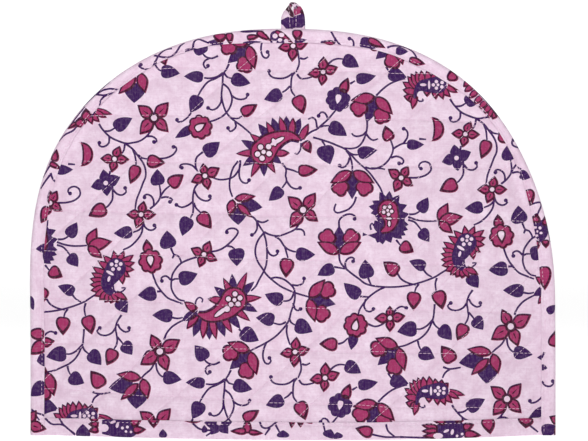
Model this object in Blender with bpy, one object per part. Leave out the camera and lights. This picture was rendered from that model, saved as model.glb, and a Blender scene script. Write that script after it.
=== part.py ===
"""A padded cloth tea cosy that stands open on its hem.

Two quilted panels are joined round an arch by one binding. Each panel's lower edge
has its own folded band, and a hanging loop is caught in the seam at the top.
Units are metres with +Z up. The origin is at the middle of the hem, on the surface
that the cosy stands on, and the front faces -Y.
"""

import math

import bmesh
import bpy
import numpy as np
from mathutils import Vector
from mathutils.geometry import delaunay_2d_cdt

MM = 0.001

# The arch, over the binding.
WIDTH = 331 * MM
HEIGHT = 256 * MM
SIDE_RISE = 86 * MM  # the sides are straight up to here
ARCH_POWER = 2.35  # superellipse exponent of the arch above the sides
SHOULDER_LEAN = 3.4 * MM  # the arch leans this far to the left at its shoulders
SHOULDER_HEIGHT = 178 * MM
SHOULDER_REACH = 58 * MM
TOP_TILT = 0.012  # the crown falls to the right by this share of the width

# The cavity: how far each panel stands out from the seam plane at the hem.
FRONT = {"side": -1, "bulge": 43 * MM, "skew": 0.22, "dents": (
    # x, z, reach across, reach up, how far the cloth stands out (+) or dips (-)
    (-0.098, 0.060, 0.040, 0.060, -0.0016),
    (0.085, 0.050, 0.045, 0.050, 0.0014),
    (-0.030, 0.150, 0.050, 0.030, 0.0012),
    (0.060, 0.185, 0.040, 0.030, -0.0012),
    (-0.020, 0.030, 0.025, 0.045, -0.0010),
)}
BACK = {"side": 1, "bulge": 40 * MM, "skew": -0.14, "dents": (
    (0.090, 0.055, 0.045, 0.055, -0.0014),
    (-0.070, 0.120, 0.050, 0.040, 0.0014),
    (0.020, 0.175, 0.050, 0.030, -0.0010),
)}
TAPER = 0.30  # the bulge loses this share of itself from the hem to the crown
DOME_SOFT = 0.06  # how gently the panel leaves the flat seam, in dome units
SEAM_EASE = 0.06  # share of the way to the middle over which it swells to full thickness

# Layers of the seam, measured from the seam plane.
SEAM_Y = 1.6 * MM  # the seam plane lies this far behind the middle, as the front bulges more
GAP = 0.3 * MM  # between pieces that touch
BINDING_WIDTH = 9.5 * MM
BINDING_CLOTH = 1.0 * MM
BINDING_ROUND = 2.5 * MM  # depth of the rounded outer edge
BINDING_WALL = 1.9 * MM  # cloth across the outer edge, at its middle
FOLD_SOFT = 0.3 * MM  # rounding of a folded edge
SEAM_FLAT = 10.5 * MM  # the panels lie flat in the seam over this width
SEAM_MID, SEAM_HALF = 1.5 * MM, 1.35 * MM  # middle and half thickness of a panel there
HEM_MID, HEM_HALF = 2.0 * MM, 0.75 * MM  # the same where a band is folded over it
LOOP_MID, LOOP_HALF = 2.15 * MM, 0.70 * MM  # the same beside the caught loop
EDGE_INSET = BINDING_WALL + GAP

# The bands along the hem.
BAND_CLOTH = 0.8 * MM
BAND_FOLD = 0.9 * MM  # cloth under the panel's edge
BAND_OUTSIDE = 11.0 * MM
BAND_INSIDE = 10.0 * MM
HEM_CALM, HEM_FREE = 12 * MM, 22 * MM  # thin below the first, full above the second

# Quilting: the panel's half thickness on a stitch line and in a puff.
LINE_HALF, PUFF_HALF = 1.3 * MM, 2.4 * MM
PUFF_SOFT = 6.0 * MM
PUFF_POWER = 1.5
LEVEL_LINES = (  # height at the middle of the panel, fall per metre to the right
    (0.2290, 0.020),
    (0.1990, 0.018),
    (0.1698, 0.018),
    (0.1377, 0.024),
    (0.1103, 0.036),
    (0.0816, 0.029),
    (0.0548, 0.022),
    (0.0227, 0.040),
)
SLANT = math.radians(42)  # the other stitch lines climb to the right at this angle
SLANT_LINES = (  # distance of each from the origin, square to the line
    -0.1934, -0.1625, -0.1304, -0.0989, -0.0680, -0.0365, -0.0088, 0.0246, 0.0560, 0.0876,
)

# The hanging loop.
LOOP_X = 0.0
LOOP_TOP = 273 * MM
LOOP_STRIP, LOOP_CLOTH = 7.4 * MM, 2.2 * MM
LOOP_LEG = 4.0 * MM  # middle of each leg from the middle of the loop, in the seam
LOOP_STATIONS = 41
LOOP_ROOM = 9.5 * MM, 15 * MM  # half width of the thinned seam, and where that has ended
LOOP_DEPTH = HEIGHT - 24 * MM, HEIGHT - 14 * MM  # heights between which the thinning begins
LOOP_ROUTE = (  # height above the arch, place across, place in depth, turn of the strip in degrees
    (-8.0, -4.0, 0.0, 0),
    (-4.5, -4.0, 0.0, 0),
    (-1.0, -4.0, 0.0, 0),
    (3.0, -4.1, 0.0, 6),
    (7.0, -4.2, 0.3, 24),
    (10.5, -3.7, 0.6, 50),
    (13.4, -2.4, 0.7, 76),
    (15.2, -1.1, 0.4, 92),
    (15.9, 0.1, 0.0, 103),
    (15.2, 1.3, -0.4, 115),
    (13.4, 2.5, -0.7, 130),
    (10.5, 3.5, -0.6, 148),
    (7.0, 3.9, -0.3, 165),
    (3.0, 4.0, 0.0, 176),
    (-1.0, 4.0, 0.0, 180),
    (-4.5, 4.0, 0.0, 180),
    (-8.0, 4.0, 0.0, 180),
)

# How finely the faces are divided.
OUTLINE_POINTS = 500
OUTLINE_STEP = 6.5 * MM
BINDING_STEP = 8.5 * MM
BEND_STEP = 2.2 * MM  # along the hem where it turns out of the seam
HEM_BEND = 26 * MM  # from the edge of the arch to where that turn is over
STITCH_STEP = 8.5 * MM
FILL_STEP = 9.6 * MM
FILL_CLEAR = 4.2 * MM
SLOPE_STEP = 0.5 * MM

COLOURS = {
    "print": (0.78, 0.60, 0.73, 1.0),
    "binding": (0.76, 0.58, 0.72, 1.0),
    "loop": (0.30, 0.10, 0.24, 1.0),
}


def clear_scene():
    for thing in list(bpy.data.objects):
        bpy.data.objects.remove(thing, do_unlink=True)


def cloth_material(name, colour):
    material = bpy.data.materials.new(name)
    material.use_nodes = True
    shader = material.node_tree.nodes["Principled BSDF"]
    shader.inputs["Base Color"].default_value = colour
    shader.inputs["Roughness"].default_value = 0.9
    shader.inputs["Metallic"].default_value = 0.0
    return material


def rise(value, low, high):
    """0 up to low, 1 from high on, smooth between."""
    share = np.clip((value - low) / (high - low), 0, 1)
    return share * share * (3 - 2 * share)


# ---- the outline of the arch, as (x, z) pairs ----


def lean(z):
    return -SHOULDER_LEAN * np.exp(-(((z - SHOULDER_HEIGHT) / SHOULDER_REACH) ** 2))


def tilt(x, z):
    return -TOP_TILT * x * rise(z, SIDE_RISE, HEIGHT)


def outline():
    """Closely spaced points from the right foot of the arch over the top to the left foot."""
    turn = np.linspace(0, math.pi, 1601)
    across = np.sign(np.cos(turn)) * np.abs(np.cos(turn)) ** (2 / ARCH_POWER)
    up = np.abs(np.sin(turn)) ** (2 / ARCH_POWER)
    climb = np.linspace(0, SIDE_RISE, 200, endpoint=False)
    x = np.concatenate([np.ones(200), across, -np.ones(200)]) * WIDTH / 2
    z = np.concatenate([climb, SIDE_RISE + up * (HEIGHT - SIDE_RISE), climb[::-1]])
    return np.column_stack([x + lean(z) - lean(0.0), z + tilt(x, z)])


def resampled(points, count):
    """The same line with count points, evenly spaced along it."""
    steps = np.hypot(*np.diff(points, axis=0).T)
    along = np.concatenate([[0], np.cumsum(steps)])
    wanted = np.linspace(0, along[-1], count)
    return np.column_stack([np.interp(wanted, along, points[:, i]) for i in (0, 1)])


def inward(points):
    """Unit vectors square to the line, towards the middle of the panel; level at both feet."""
    run = np.gradient(points, axis=0)
    run[0], run[-1] = (0, 1), (0, -1)
    run /= np.hypot(*run.T)[:, None]
    return np.column_stack([-run[:, 1], run[:, 0]])


def line_length(points):
    return np.hypot(*np.diff(points, axis=0).T).sum()


def inset(distance, step):
    """The arch, this far in from its edge, with points about a step apart."""
    line = resampled(outline(), OUTLINE_POINTS)
    line = line + inward(line) * distance
    return resampled(line, int(round(line_length(line) / step)) + 1)


# ---- the panel's form: distance from the seam plane, and thickness ----


def seam_share(x, z):
    """0 in the middle of the panel to 1 where the flat seam begins, past 1 inside it."""
    x = x - lean(z) + lean(0.0)
    z = z - tilt(x, z)
    across = np.abs(x) / (WIDTH / 2 - SEAM_FLAT)
    up = np.maximum(z - SIDE_RISE, 0) / (HEIGHT - SIDE_RISE - SEAM_FLAT)
    return (across**ARCH_POWER + up**ARCH_POWER) ** (1 / ARCH_POWER)


def beside_loop(x, z):
    """1 where the seam makes room for the loop's ends, 0 away from them."""
    across = 1 - rise(np.abs(x - LOOP_X), *LOOP_ROOM)
    return across * rise(z, *LOOP_DEPTH)


def middle(x, z, panel):
    """Distance of the cloth's middle layer from the seam plane."""
    open_share = np.maximum(1 - seam_share(x, z) ** 2, 0)
    dome = open_share**2 * (1 + DOME_SOFT) / (open_share + DOME_SOFT)
    out = panel["bulge"] * dome * (1 - TAPER * z / HEIGHT)
    out = out * (1 + panel["skew"] * x / (WIDTH / 2))
    for across, up, wide, high, depth in panel["dents"]:
        out = out + dome * depth * np.exp(-(((x - across) / wide) ** 2) - ((z - up) / high) ** 2)
    hem, loop = 1 - rise(z, HEM_CALM, HEM_FREE), beside_loop(x, z)
    return out + SEAM_MID + (HEM_MID - SEAM_MID) * hem + (LOOP_MID - SEAM_MID) * loop


def stitch_distance(x, z):
    """Distances to the nearest level line and the nearest slanting line."""
    level = [np.abs(z - height + fall * x) for height, fall in LEVEL_LINES]
    across = x * math.sin(SLANT) - z * math.cos(SLANT)
    slanting = [np.abs(across - place) for place in SLANT_LINES]
    return np.min(level, axis=0), np.min(slanting, axis=0)


def half_thickness(x, z):
    puff = 1.0
    for distance in stitch_distance(x, z):
        puff = puff * (1 - np.exp(-((distance / PUFF_SOFT) ** PUFF_POWER)))
    field = LINE_HALF + (PUFF_HALF - LINE_HALF) * puff
    inside = rise(1 - seam_share(x, z), 0.0, SEAM_EASE)
    half = SEAM_HALF + (field - SEAM_HALF) * inside
    hem, loop = 1 - rise(z, HEM_CALM, HEM_FREE), beside_loop(x, z)
    half = half + (LOOP_HALF - SEAM_HALF) * loop * (1 - inside)
    return half + (HEM_HALF - half) * hem


def lifted(x, z, offset, panel):
    """3-D points at this offset from the cloth's middle layer, outwards; level near the hem."""
    x, z = np.asarray(x, float), np.asarray(z, float)
    here = middle(x, z, panel)
    slope_x = (middle(x + SLOPE_STEP, z, panel) - middle(x - SLOPE_STEP, z, panel)) / (2 * SLOPE_STEP)
    slope_z = (middle(x, z + SLOPE_STEP, panel) - middle(x, z - SLOPE_STEP, panel)) / (2 * SLOPE_STEP)
    slope_z = slope_z * rise(z, HEM_CALM, 3 * HEM_CALM)
    length = np.sqrt(1 + slope_x**2 + slope_z**2)
    out = here + offset / length
    return np.column_stack(
        [x - offset * slope_x / length, SEAM_Y + panel["side"] * out, z - offset * slope_z / length]
    )


# ---- meshes ----


def closed_object(name, points, faces, material):
    """One closed, smooth-shaded mesh object with its faces turned outwards."""
    mesh = bpy.data.meshes.new(name)
    mesh.from_pydata([tuple(p) for p in points], [], faces)
    work = bmesh.new()
    work.from_mesh(mesh)
    bmesh.ops.recalc_face_normals(work, faces=work.faces)
    if work.calc_volume(signed=True) < 0:
        bmesh.ops.reverse_faces(work, faces=work.faces)
    work.to_mesh(mesh)
    work.free()
    mesh.materials.append(material)
    mesh.shade_smooth()
    mesh.set_sharp_from_angle(angle=math.radians(50))
    thing = bpy.data.objects.new(name, mesh)
    bpy.context.scene.collection.objects.link(thing)
    return thing


def swept_object(name, rings, material):
    """A closed tube through rings of points, with flat ends."""
    size = len(rings[0])
    faces = []
    for i in range(len(rings) - 1):
        for j in range(size):
            k = (j + 1) % size
            faces.append((i * size + j, i * size + k, (i + 1) * size + k, (i + 1) * size + j))
    faces.append(tuple(range(size)))
    faces.append(tuple(range((len(rings) - 1) * size, len(rings) * size)))
    return closed_object(name, np.concatenate(rings), faces, material)


def hem_stations():
    """Places across the hem, from foot to foot, closer where it turns out of the seam."""
    foot, bend = WIDTH / 2 - EDGE_INSET, WIDTH / 2 - HEM_BEND
    left = np.arange(-foot, -bend, BEND_STEP)
    straight = np.linspace(-bend, bend, int(round(2 * bend / OUTLINE_STEP)) + 1)
    return np.concatenate([left, straight, -left[::-1]])


def panel_edge():
    """The panel's cut edge: up the right side, over the arch, down the left and along the hem."""
    low = BAND_FOLD + GAP
    arch = inset(EDGE_INSET, OUTLINE_STEP)
    arch = arch[arch[:, 1] > low + OUTLINE_STEP / 2]
    bottom = hem_stations()
    return np.concatenate([arch, np.column_stack([bottom, np.full(len(bottom), low)])])


def within(line, points):
    """Which points lie inside the closed line."""
    x, z = points.T
    inside = np.zeros(len(points), bool)
    for (ax, az), (bx, bz) in zip(line, np.roll(line, -1, axis=0)):
        crosses = (az > z) != (bz > z)
        climb = bz - az if bz != az else 1.0
        inside ^= crosses & (x < (bx - ax) * (z - az) / climb + ax)
    return inside


def stitch_points():
    """Points along every stitch line."""
    found = []
    reach = np.arange(-WIDTH, WIDTH, STITCH_STEP)
    for height, fall in LEVEL_LINES:
        found.append(np.column_stack([reach, height - fall * reach]))
    for place in SLANT_LINES:
        start = place * math.sin(SLANT), -place * math.cos(SLANT)
        found.append(
            np.column_stack([start[0] + reach * math.cos(SLANT), start[1] + reach * math.sin(SLANT)])
        )
    return np.concatenate(found)


def fill_points():
    """A staggered grid that keeps off the stitch lines."""
    rows = np.arange(0, HEIGHT, FILL_STEP * math.sqrt(3) / 2)
    found = []
    for i, z in enumerate(rows):
        x = np.arange(-WIDTH / 2, WIDTH / 2, FILL_STEP) + (i % 2) * FILL_STEP / 2
        found.append(np.column_stack([x, np.full(len(x), z)]))
    found = np.concatenate(found)
    return found[np.min(stitch_distance(*found.T), axis=0) > FILL_CLEAR]


def thinned(placed, groups):
    """Points of each group in turn that keep clear of those placed and of each other."""
    kept = placed
    for point in np.concatenate(groups):
        if np.hypot(*(kept - point).T).min() > FILL_CLEAR:
            kept = np.vstack([kept, point])
    return kept[len(placed):]


def quilted_panel(name, panel, material):
    """A padded panel: its two faces share one triangulation, half the thickness either way."""
    edge = panel_edge()
    seam = inset(SEAM_FLAT, OUTLINE_STEP)
    seam = seam[seam[:, 1] > HEM_CALM + OUTLINE_STEP]
    hem = hem_stations()[2:-2]
    hem = np.column_stack([hem, np.full(len(hem), HEM_CALM)])
    inner = np.concatenate([hem, thinned(hem, [seam, stitch_points(), fill_points()])])
    ring = inset(EDGE_INSET + FILL_CLEAR, OUTLINE_STEP / 3)
    ring[:, 1] = np.maximum(ring[:, 1], 2 * FILL_CLEAR)
    inner = inner[within(ring, inner)]
    flat = [Vector(p) for p in np.concatenate([edge, inner])]
    places, _, faces, *_ = delaunay_2d_cdt(flat, [], [list(range(len(edge)))], 1, 1e-7)
    places = np.array([tuple(p) for p in places])
    x, z = places.T
    half = half_thickness(x, z)
    count = len(places)
    points = np.concatenate([lifted(x, z, half, panel), lifted(x, z, -half, panel)])
    shell = [tuple(f) for f in faces] + [tuple(i + count for i in reversed(f)) for f in faces]
    sides = {(a, b) for face in faces for a, b in zip(face, face[1:] + face[:1])}
    shell += [(a, a + count, b + count, b) for a, b in sorted(sides) if (b, a) not in sides]
    return closed_object(name, points, shell, material)


def band_profile():
    """The folded band's section as (offset from the panel's middle, height)."""
    inner = HEM_HALF + GAP
    outer = inner + BAND_CLOTH
    soft = FOLD_SOFT
    half = [
        (outer - soft, 0.0),
        (outer, soft),
        (outer, BAND_OUTSIDE - soft),
        (outer - soft, BAND_OUTSIDE),
        (inner, BAND_OUTSIDE),
        (inner, BAND_FOLD + soft),
        (inner - soft, BAND_FOLD),
    ]
    drop = BAND_OUTSIDE - BAND_INSIDE
    other = [(-n, z - drop if z > BAND_OUTSIDE / 2 else z) for n, z in reversed(half)]
    return half + other


def hem_band(name, panel, material):
    profile = band_profile()
    rings = []
    for x in hem_stations():
        rings.append(
            np.concatenate(
                [lifted([x], [np.clip(z, 0, HEM_CALM)], n, panel) for n, z in profile]
            )
        )
    return swept_object(name, rings, material)


def binding_profile(inner):
    """The binding's section as (distance in front of the seam plane, distance in from the edge)."""
    outer = inner + BINDING_CLOTH
    turn = np.linspace(0, math.pi, 9)
    edge = [(outer * math.cos(a), BINDING_ROUND * (1 - math.sin(a))) for a in turn]
    front = [(inner, BINDING_WALL), (inner, BINDING_WIDTH), (outer - FOLD_SOFT, BINDING_WIDTH)]
    front.append((outer, BINDING_WIDTH - FOLD_SOFT))
    back = [(-y, s) for y, s in reversed(front)]
    return front + edge + back


def loop_slot():
    """Cuts the opening in the binding's outer edge that the loop comes out of."""
    wide = 2 * LOOP_LEG + LOOP_STRIP + 2 * GAP
    bpy.ops.mesh.primitive_cube_add(size=1, location=(LOOP_X, SEAM_Y, HEIGHT))
    cutter = bpy.context.object
    cutter.name = "loop_slot"
    cutter.scale = wide, LOOP_CLOTH + 2 * GAP, 2 * EDGE_INSET + BINDING_ROUND
    cutter.hide_render = True
    cutter.display_type = "WIRE"
    return cutter


def arch_binding(material):
    """One strip folded over the joined edges, from the right foot round to the left foot."""
    line = resampled(outline(), OUTLINE_POINTS)
    normal = inward(line)
    count = int(round(line_length(line) / BINDING_STEP)) + 1
    chosen = np.unique(np.round(np.linspace(0, len(line) - 1, count)).astype(int))
    plain = SEAM_MID + SEAM_HALF + GAP
    over_band = HEM_MID + HEM_HALF + GAP + BAND_CLOTH + GAP
    rings = []
    for (x, z), (nx, nz) in zip(line[chosen], normal[chosen]):
        inner = plain + (over_band - plain) * (1 - rise(z, HEM_CALM, HEM_FREE))
        section = binding_profile(inner)
        rings.append(
            np.array([(x + nx * s, SEAM_Y - y, max(z + nz * s, 0.0)) for y, s in section])
        )
    binding = swept_object("arch_binding", rings, material)
    slot = binding.modifiers.new("loop slot", "BOOLEAN")
    slot.operation = "DIFFERENCE"
    slot.object = loop_slot()
    return binding


def loop_stations():
    """The loop's middle line and turn, as smooth rows of (x, y, z, turn)."""
    rows = np.array(LOOP_ROUTE, float)
    fine = np.linspace(0, len(rows) - 1, LOOP_STATIONS)
    up, x, y, turn = (np.interp(fine, range(len(rows)), rows[:, i]) for i in range(4))
    top = (LOOP_TOP - LOOP_CLOTH / 2 - HEIGHT) / MM / rows[:, 0].max()
    route = np.column_stack([x, y, np.where(up > 0, up * top, up), turn])
    for _ in range(3):
        route[1:-1] = (route[:-2] + 2 * route[1:-1] + route[2:]) / 4
    return route * (MM, MM, MM, math.pi / 180) + (LOOP_X, SEAM_Y, HEIGHT, 0)


def hanging_loop(material):
    """A folded strip whose legs face the front and turn edge on at the top."""
    route = loop_stations()
    run = np.gradient(route[:, :3], axis=0)
    run[0], run[-1] = (0, 0, 1), (0, 0, -1)
    wide, thick, soft = LOOP_STRIP / 2, LOOP_CLOTH / 2, FOLD_SOFT
    corners = [(wide, thick - soft), (wide - soft, thick), (soft - wide, thick), (-wide, thick - soft)]
    corners += [(-a, -b) for a, b in corners]
    rings = []
    for (x, y, z, turn), along in zip(route, run):
        along = along / np.linalg.norm(along)
        across = np.array([math.cos(turn), -math.sin(turn), 0])
        across = across - along * across.dot(along)
        across /= np.linalg.norm(across)
        face = np.cross(along, across)
        rings.append(np.array([np.array([x, y, z]) + across * a + face * b for a, b in corners]))
    return swept_object("hanging_loop", rings, material)


def main():
    clear_scene()
    quilted_panel("front_panel", FRONT, cloth_material("front cotton", COLOURS["print"]))
    quilted_panel("back_panel", BACK, cloth_material("back cotton", COLOURS["print"]))
    hem_band("front_hem_band", FRONT, cloth_material("front band", COLOURS["binding"]))
    hem_band("back_hem_band", BACK, cloth_material("back band", COLOURS["binding"]))
    arch_binding(cloth_material("binding cotton", COLOURS["binding"]))
    hanging_loop(cloth_material("loop cotton", COLOURS["loop"]))


main()
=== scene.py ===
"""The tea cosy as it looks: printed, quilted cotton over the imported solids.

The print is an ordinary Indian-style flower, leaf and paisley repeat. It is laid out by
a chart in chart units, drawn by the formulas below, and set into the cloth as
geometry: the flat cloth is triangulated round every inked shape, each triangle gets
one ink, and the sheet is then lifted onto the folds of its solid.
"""

import math

import bpy
import numpy as np
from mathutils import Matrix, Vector
from mathutils.geometry import delaunay_2d_cdt
from mathutils.kdtree import KDTree


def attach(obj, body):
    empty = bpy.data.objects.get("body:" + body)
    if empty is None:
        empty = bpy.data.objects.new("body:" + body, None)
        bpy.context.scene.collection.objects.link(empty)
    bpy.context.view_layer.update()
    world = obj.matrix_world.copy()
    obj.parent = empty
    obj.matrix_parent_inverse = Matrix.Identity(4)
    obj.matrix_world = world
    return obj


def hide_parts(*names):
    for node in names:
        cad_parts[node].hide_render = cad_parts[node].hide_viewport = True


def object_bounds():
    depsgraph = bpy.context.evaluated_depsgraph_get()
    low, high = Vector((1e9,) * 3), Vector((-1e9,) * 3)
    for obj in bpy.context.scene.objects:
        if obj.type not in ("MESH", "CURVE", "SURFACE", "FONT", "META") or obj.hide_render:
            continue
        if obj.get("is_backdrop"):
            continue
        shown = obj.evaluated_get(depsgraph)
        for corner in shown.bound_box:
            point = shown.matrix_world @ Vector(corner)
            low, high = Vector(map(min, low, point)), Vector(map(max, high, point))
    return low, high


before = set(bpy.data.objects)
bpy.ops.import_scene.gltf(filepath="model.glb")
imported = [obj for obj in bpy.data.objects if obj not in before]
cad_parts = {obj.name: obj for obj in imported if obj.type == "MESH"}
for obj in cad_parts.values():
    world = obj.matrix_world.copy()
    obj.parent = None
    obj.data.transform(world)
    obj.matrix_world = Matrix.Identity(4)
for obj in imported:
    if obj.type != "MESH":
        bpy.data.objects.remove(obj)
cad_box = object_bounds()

MM = 0.001

# ---- shape, as in the part's source ----

WIDTH = 331 * MM
HEIGHT = 256 * MM
SIDE_RISE = 86 * MM  # the sides are straight up to here
ARCH_POWER = 2.35
SHOULDER_LEAN = 3.4 * MM
SHOULDER_HEIGHT = 178 * MM
SHOULDER_REACH = 58 * MM
TOP_TILT = 0.012
FRONT = {"side": -1, "bulge": 43 * MM, "skew": 0.22, "seed": 3, "dents": (
    # x, z, reach across, reach up, how far the cloth stands out (+) or dips (-)
    (-0.098, 0.060, 0.040, 0.060, -0.0016),
    (0.085, 0.050, 0.045, 0.050, 0.0014),
    (-0.030, 0.150, 0.050, 0.030, 0.0012),
    (0.060, 0.185, 0.040, 0.030, -0.0012),
    (-0.020, 0.030, 0.025, 0.045, -0.0010),
)}
BACK = {"side": 1, "bulge": 40 * MM, "skew": -0.14, "seed": 11, "dents": (
    (0.090, 0.055, 0.045, 0.055, -0.0014),
    (-0.070, 0.120, 0.050, 0.040, 0.0014),
    (0.020, 0.175, 0.050, 0.030, -0.0010),
)}
TAPER = 0.30
DOME_SOFT = 0.06
SEAM_EASE = 0.06
SEAM_Y = 1.6 * MM
GAP = 0.3 * MM
BINDING_WIDTH = 9.5 * MM
BINDING_CLOTH = 1.0 * MM
BINDING_ROUND = 2.5 * MM
BINDING_WALL = 1.9 * MM
SEAM_FLAT = 10.5 * MM
SEAM_MID, SEAM_HALF = 1.5 * MM, 1.35 * MM
HEM_MID, HEM_HALF = 2.0 * MM, 0.75 * MM
LOOP_MID, LOOP_HALF = 2.15 * MM, 0.70 * MM
EDGE_INSET = BINDING_WALL + GAP
FOOT = WIDTH / 2 - EDGE_INSET  # from the middle to where a panel and its band end
BAND_CLOTH = 0.8 * MM
BAND_FOLD = 0.9 * MM
BAND_OUTSIDE = 11.0 * MM
BAND_INSIDE = 10.0 * MM
HEM_CALM, HEM_FREE = 12 * MM, 22 * MM
LINE_HALF, PUFF_HALF = 1.3 * MM, 2.4 * MM
PUFF_SOFT = 6.0 * MM
PUFF_POWER = 1.5
LEVEL_LINES = (  # height at the middle of the panel, fall per metre to the right
    (0.2290, 0.020),
    (0.1990, 0.018),
    (0.1698, 0.018),
    (0.1377, 0.024),
    (0.1103, 0.036),
    (0.0816, 0.029),
    (0.0548, 0.022),
    (0.0227, 0.040),
)
SLANT = math.radians(42)
SLANT_LINES = (
    -0.1934, -0.1625, -0.1304, -0.0989, -0.0680, -0.0365, -0.0088, 0.0246, 0.0560, 0.0876,
)
LOOP_X = 0.0
LOOP_TOP = 273 * MM
LOOP_STRIP, LOOP_CLOTH = 7.4 * MM, 2.2 * MM
LOOP_ROOM = 9.5 * MM, 15 * MM
LOOP_DEPTH = HEIGHT - 24 * MM, HEIGHT - 14 * MM
LOOP_ROUTE = (  # height above the arch, place across, place in depth, turn of the strip in degrees
    (-8.0, -4.0, 0.0, 0),
    (-4.5, -4.0, 0.0, 0),
    (-1.0, -4.0, 0.0, 0),
    (3.0, -4.1, 0.0, 6),
    (7.0, -4.2, 0.3, 24),
    (10.5, -3.7, 0.6, 50),
    (13.4, -2.4, 0.7, 76),
    (15.2, -1.1, 0.4, 92),
    (15.9, 0.1, 0.0, 103),
    (15.2, 1.3, -0.4, 115),
    (13.4, 2.5, -0.7, 130),
    (10.5, 3.5, -0.6, 148),
    (7.0, 3.9, -0.3, 165),
    (3.0, 4.0, 0.0, 176),
    (-1.0, 4.0, 0.0, 180),
    (-4.5, 4.0, 0.0, 180),
    (-8.0, 4.0, 0.0, 180),
)

# ---- view ----

VIEW_DISTANCE = 1.9  # from the camera to the plane of the seam
VIEW_X, VIEW_Z = 0.6 * MM, 135.1 * MM  # the middle of the picture there
VIEW_WIDE = 370.4 * MM  # width of the picture there
SENSOR = 36.0  # mm

# ---- the chart of the print ----
# One repeat, as seen from the front: x to the right and y down, in chart units.

CHART_UNIT = 0.63 * MM
CHART_X, CHART_Z = 293, 435  # the chart place that lies at the middle of the hem
REPEAT_ACROSS = (351, -25)
REPEAT_DOWN = (2, 306)
BACK_SHIFT = (120, 37)  # how far the print is shifted on the back panel

PURPLE_LEAVES = (  # base x, y, tip x, y, width
    (115, 129, 131.5, 117, 13), (203, 78, 184, 75.5, 11), (198, 96, 191.5, 113.5, 14),
    (232, 77, 250, 84.5, 13), (281, 92, 264.5, 100.5, 13), (204, 153, 220.5, 143, 14),
    (159, 185, 156, 169.5, 14), (325, 146, 328.5, 165, 17), (329, 126, 347.5, 135, 14),
    (356, 79, 376, 77, 11), (358, 155, 377, 149, 12), (407, 144, 424, 145.5, 10),
    (132, 231, 114, 234.5, 12), (189.5, 218, 181, 235.5, 14), (170, 248, 165.5, 231, 16),
    (179, 279, 198, 275, 14), (235, 249, 238.5, 266, 16), (296, 253, 315, 256, 13),
    (281, 188, 269.5, 201.5, 12), (334, 268, 317, 274.5, 12), (368, 278, 363.5, 260, 15),
    (419, 211, 429, 198, 12), (420, 231, 430, 241, 12), (425, 268, 409.5, 260, 11),
    (156, 292, 138, 296.5, 14), (172.5, 317, 152.5, 314, 13), (163, 378, 182, 378.5, 13),
    (120, 300, 126.5, 313.5, 13), (123, 344, 133, 354, 13), (205, 360, 196, 344.5, 14),
    (283, 300, 264.5, 295.5, 13), (274, 321, 256, 316.5, 13), (295, 325, 313, 330.5, 15),
    (242, 330, 258, 342, 15), (360, 296, 343, 284, 13), (417, 329, 397, 330.5, 15),
    (440, 328, 453, 339, 14), (421, 350, 434, 359.5, 14), (345, 365, 361.5, 372, 13),
    (391, 378, 408, 385, 14),
)
MAGENTA_LEAVES = (  # base x, y, tip x, y, width
    (136, 165, 130.5, 184, 12), (147, 160, 165, 163.5, 13), (170, 186, 183, 174, 13),
    (106, 208, 88, 215, 14), (199, 214, 212, 228, 14), (241, 113, 257.5, 104.5, 11),
    (296, 96, 304, 113.5, 14), (298, 170, 317.5, 170.5, 12), (304, 142, 311, 153, 10),
    (288, 258.5, 284.5, 277.5, 14), (390, 140, 384, 126, 12), (401, 244, 413, 252.5, 13),
    (398, 272, 382.5, 262.5, 14), (415, 292, 412.5, 310, 14), (437, 291, 443.5, 309, 14),
    (337, 345, 319, 343, 13), (113.5, 349, 107, 365.5, 13), (452, 362, 442, 345, 15),
)
CROSS_FLOWERS = (  # middle x, y, then the four tips
    (154, 118, 136.5, 106, 169.5, 103, 169, 131, 138.5, 133.5),
    (114.5, 159, 119, 145.5, 129, 160, 112, 172.5, 100, 157.5),
    (205, 176, 202, 163, 220, 168.5, 209, 190, 190.5, 181.5),
    (141, 214.5, 143, 200.5, 156, 215, 136.5, 228.5, 126, 213.5),
    (303, 210, 286.5, 197, 316.5, 193.5, 318.5, 220.5, 288.5, 227),
    (204, 254.5, 190, 249, 211, 241, 217.5, 259.5, 198, 267),
    (401, 178, 387, 170, 409, 166, 413.5, 185, 393, 191.5),
    (160, 351.5, 150, 334.5, 181, 340.5, 168.5, 371, 139, 363.5),
    (295, 352, 295.5, 336.5, 310, 349.5, 294.5, 367.5, 279.5, 353),
    (325, 378, 324.5, 362, 340, 373.5, 324, 392, 309, 379),
    (390, 318, 389, 305.5, 405.5, 316.5, 390.5, 332, 374, 317.5),
)
PURPLE_FLOWERS = ((105.5, 183, 102, 169.5, 120.5, 178, 108, 196, 90.5, 186),)
ROSETTES = (  # middle x, y, the place that its white drop points to, whether magenta
    (200, 127, 207, 122.5, 1), (150.5, 261, 151, 268, 1),
    (355.5, 325, 357, 318, 1), (338, 99.5, 336, 110, 0),
)
ROSETTE_LEAVES = (  # base x, y, tip x, y, width, whether magenta
    (192, 128, 175, 138, 9, 0), (148, 252, 146.5, 239, 10, 1),
    (354, 335, 351, 350, 10, 0), (342, 92, 348, 77.5, 10, 1),
)
LOTUSES = (  # base x, y, a place that it opens towards
    (339, 253, 339, 226), (352, 172, 352, 199), (375, 97, 367, 121),
    (250, 351, 229, 370), (398, 347, 379, 364), (309, 298, 334, 304),
)
TULIPS = ((141, 378, 1, 1), (234, 199, -0.86, 0.84))  # base x, y, scale across (minus: mirrored) and down
TULIP_LOBES = ((-8, 6, -33, 10, 17), (-4, 11, -5, 31, 21))  # from its base: x, y, tip x, y, width
TULIP_PETALS = ((-3, 5, -21, 22, 10), (1, 0, 6, 21, 12), (0, 0, -25, -4, 11))
BUDS = ((438.5, 221, 448, 202.5, 463, 216, 453, 233),)  # base x, y, three tips
CRESCENTS = ((432, 129, 12, 0.3),)  # middle x, y, radius, how hollow
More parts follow.
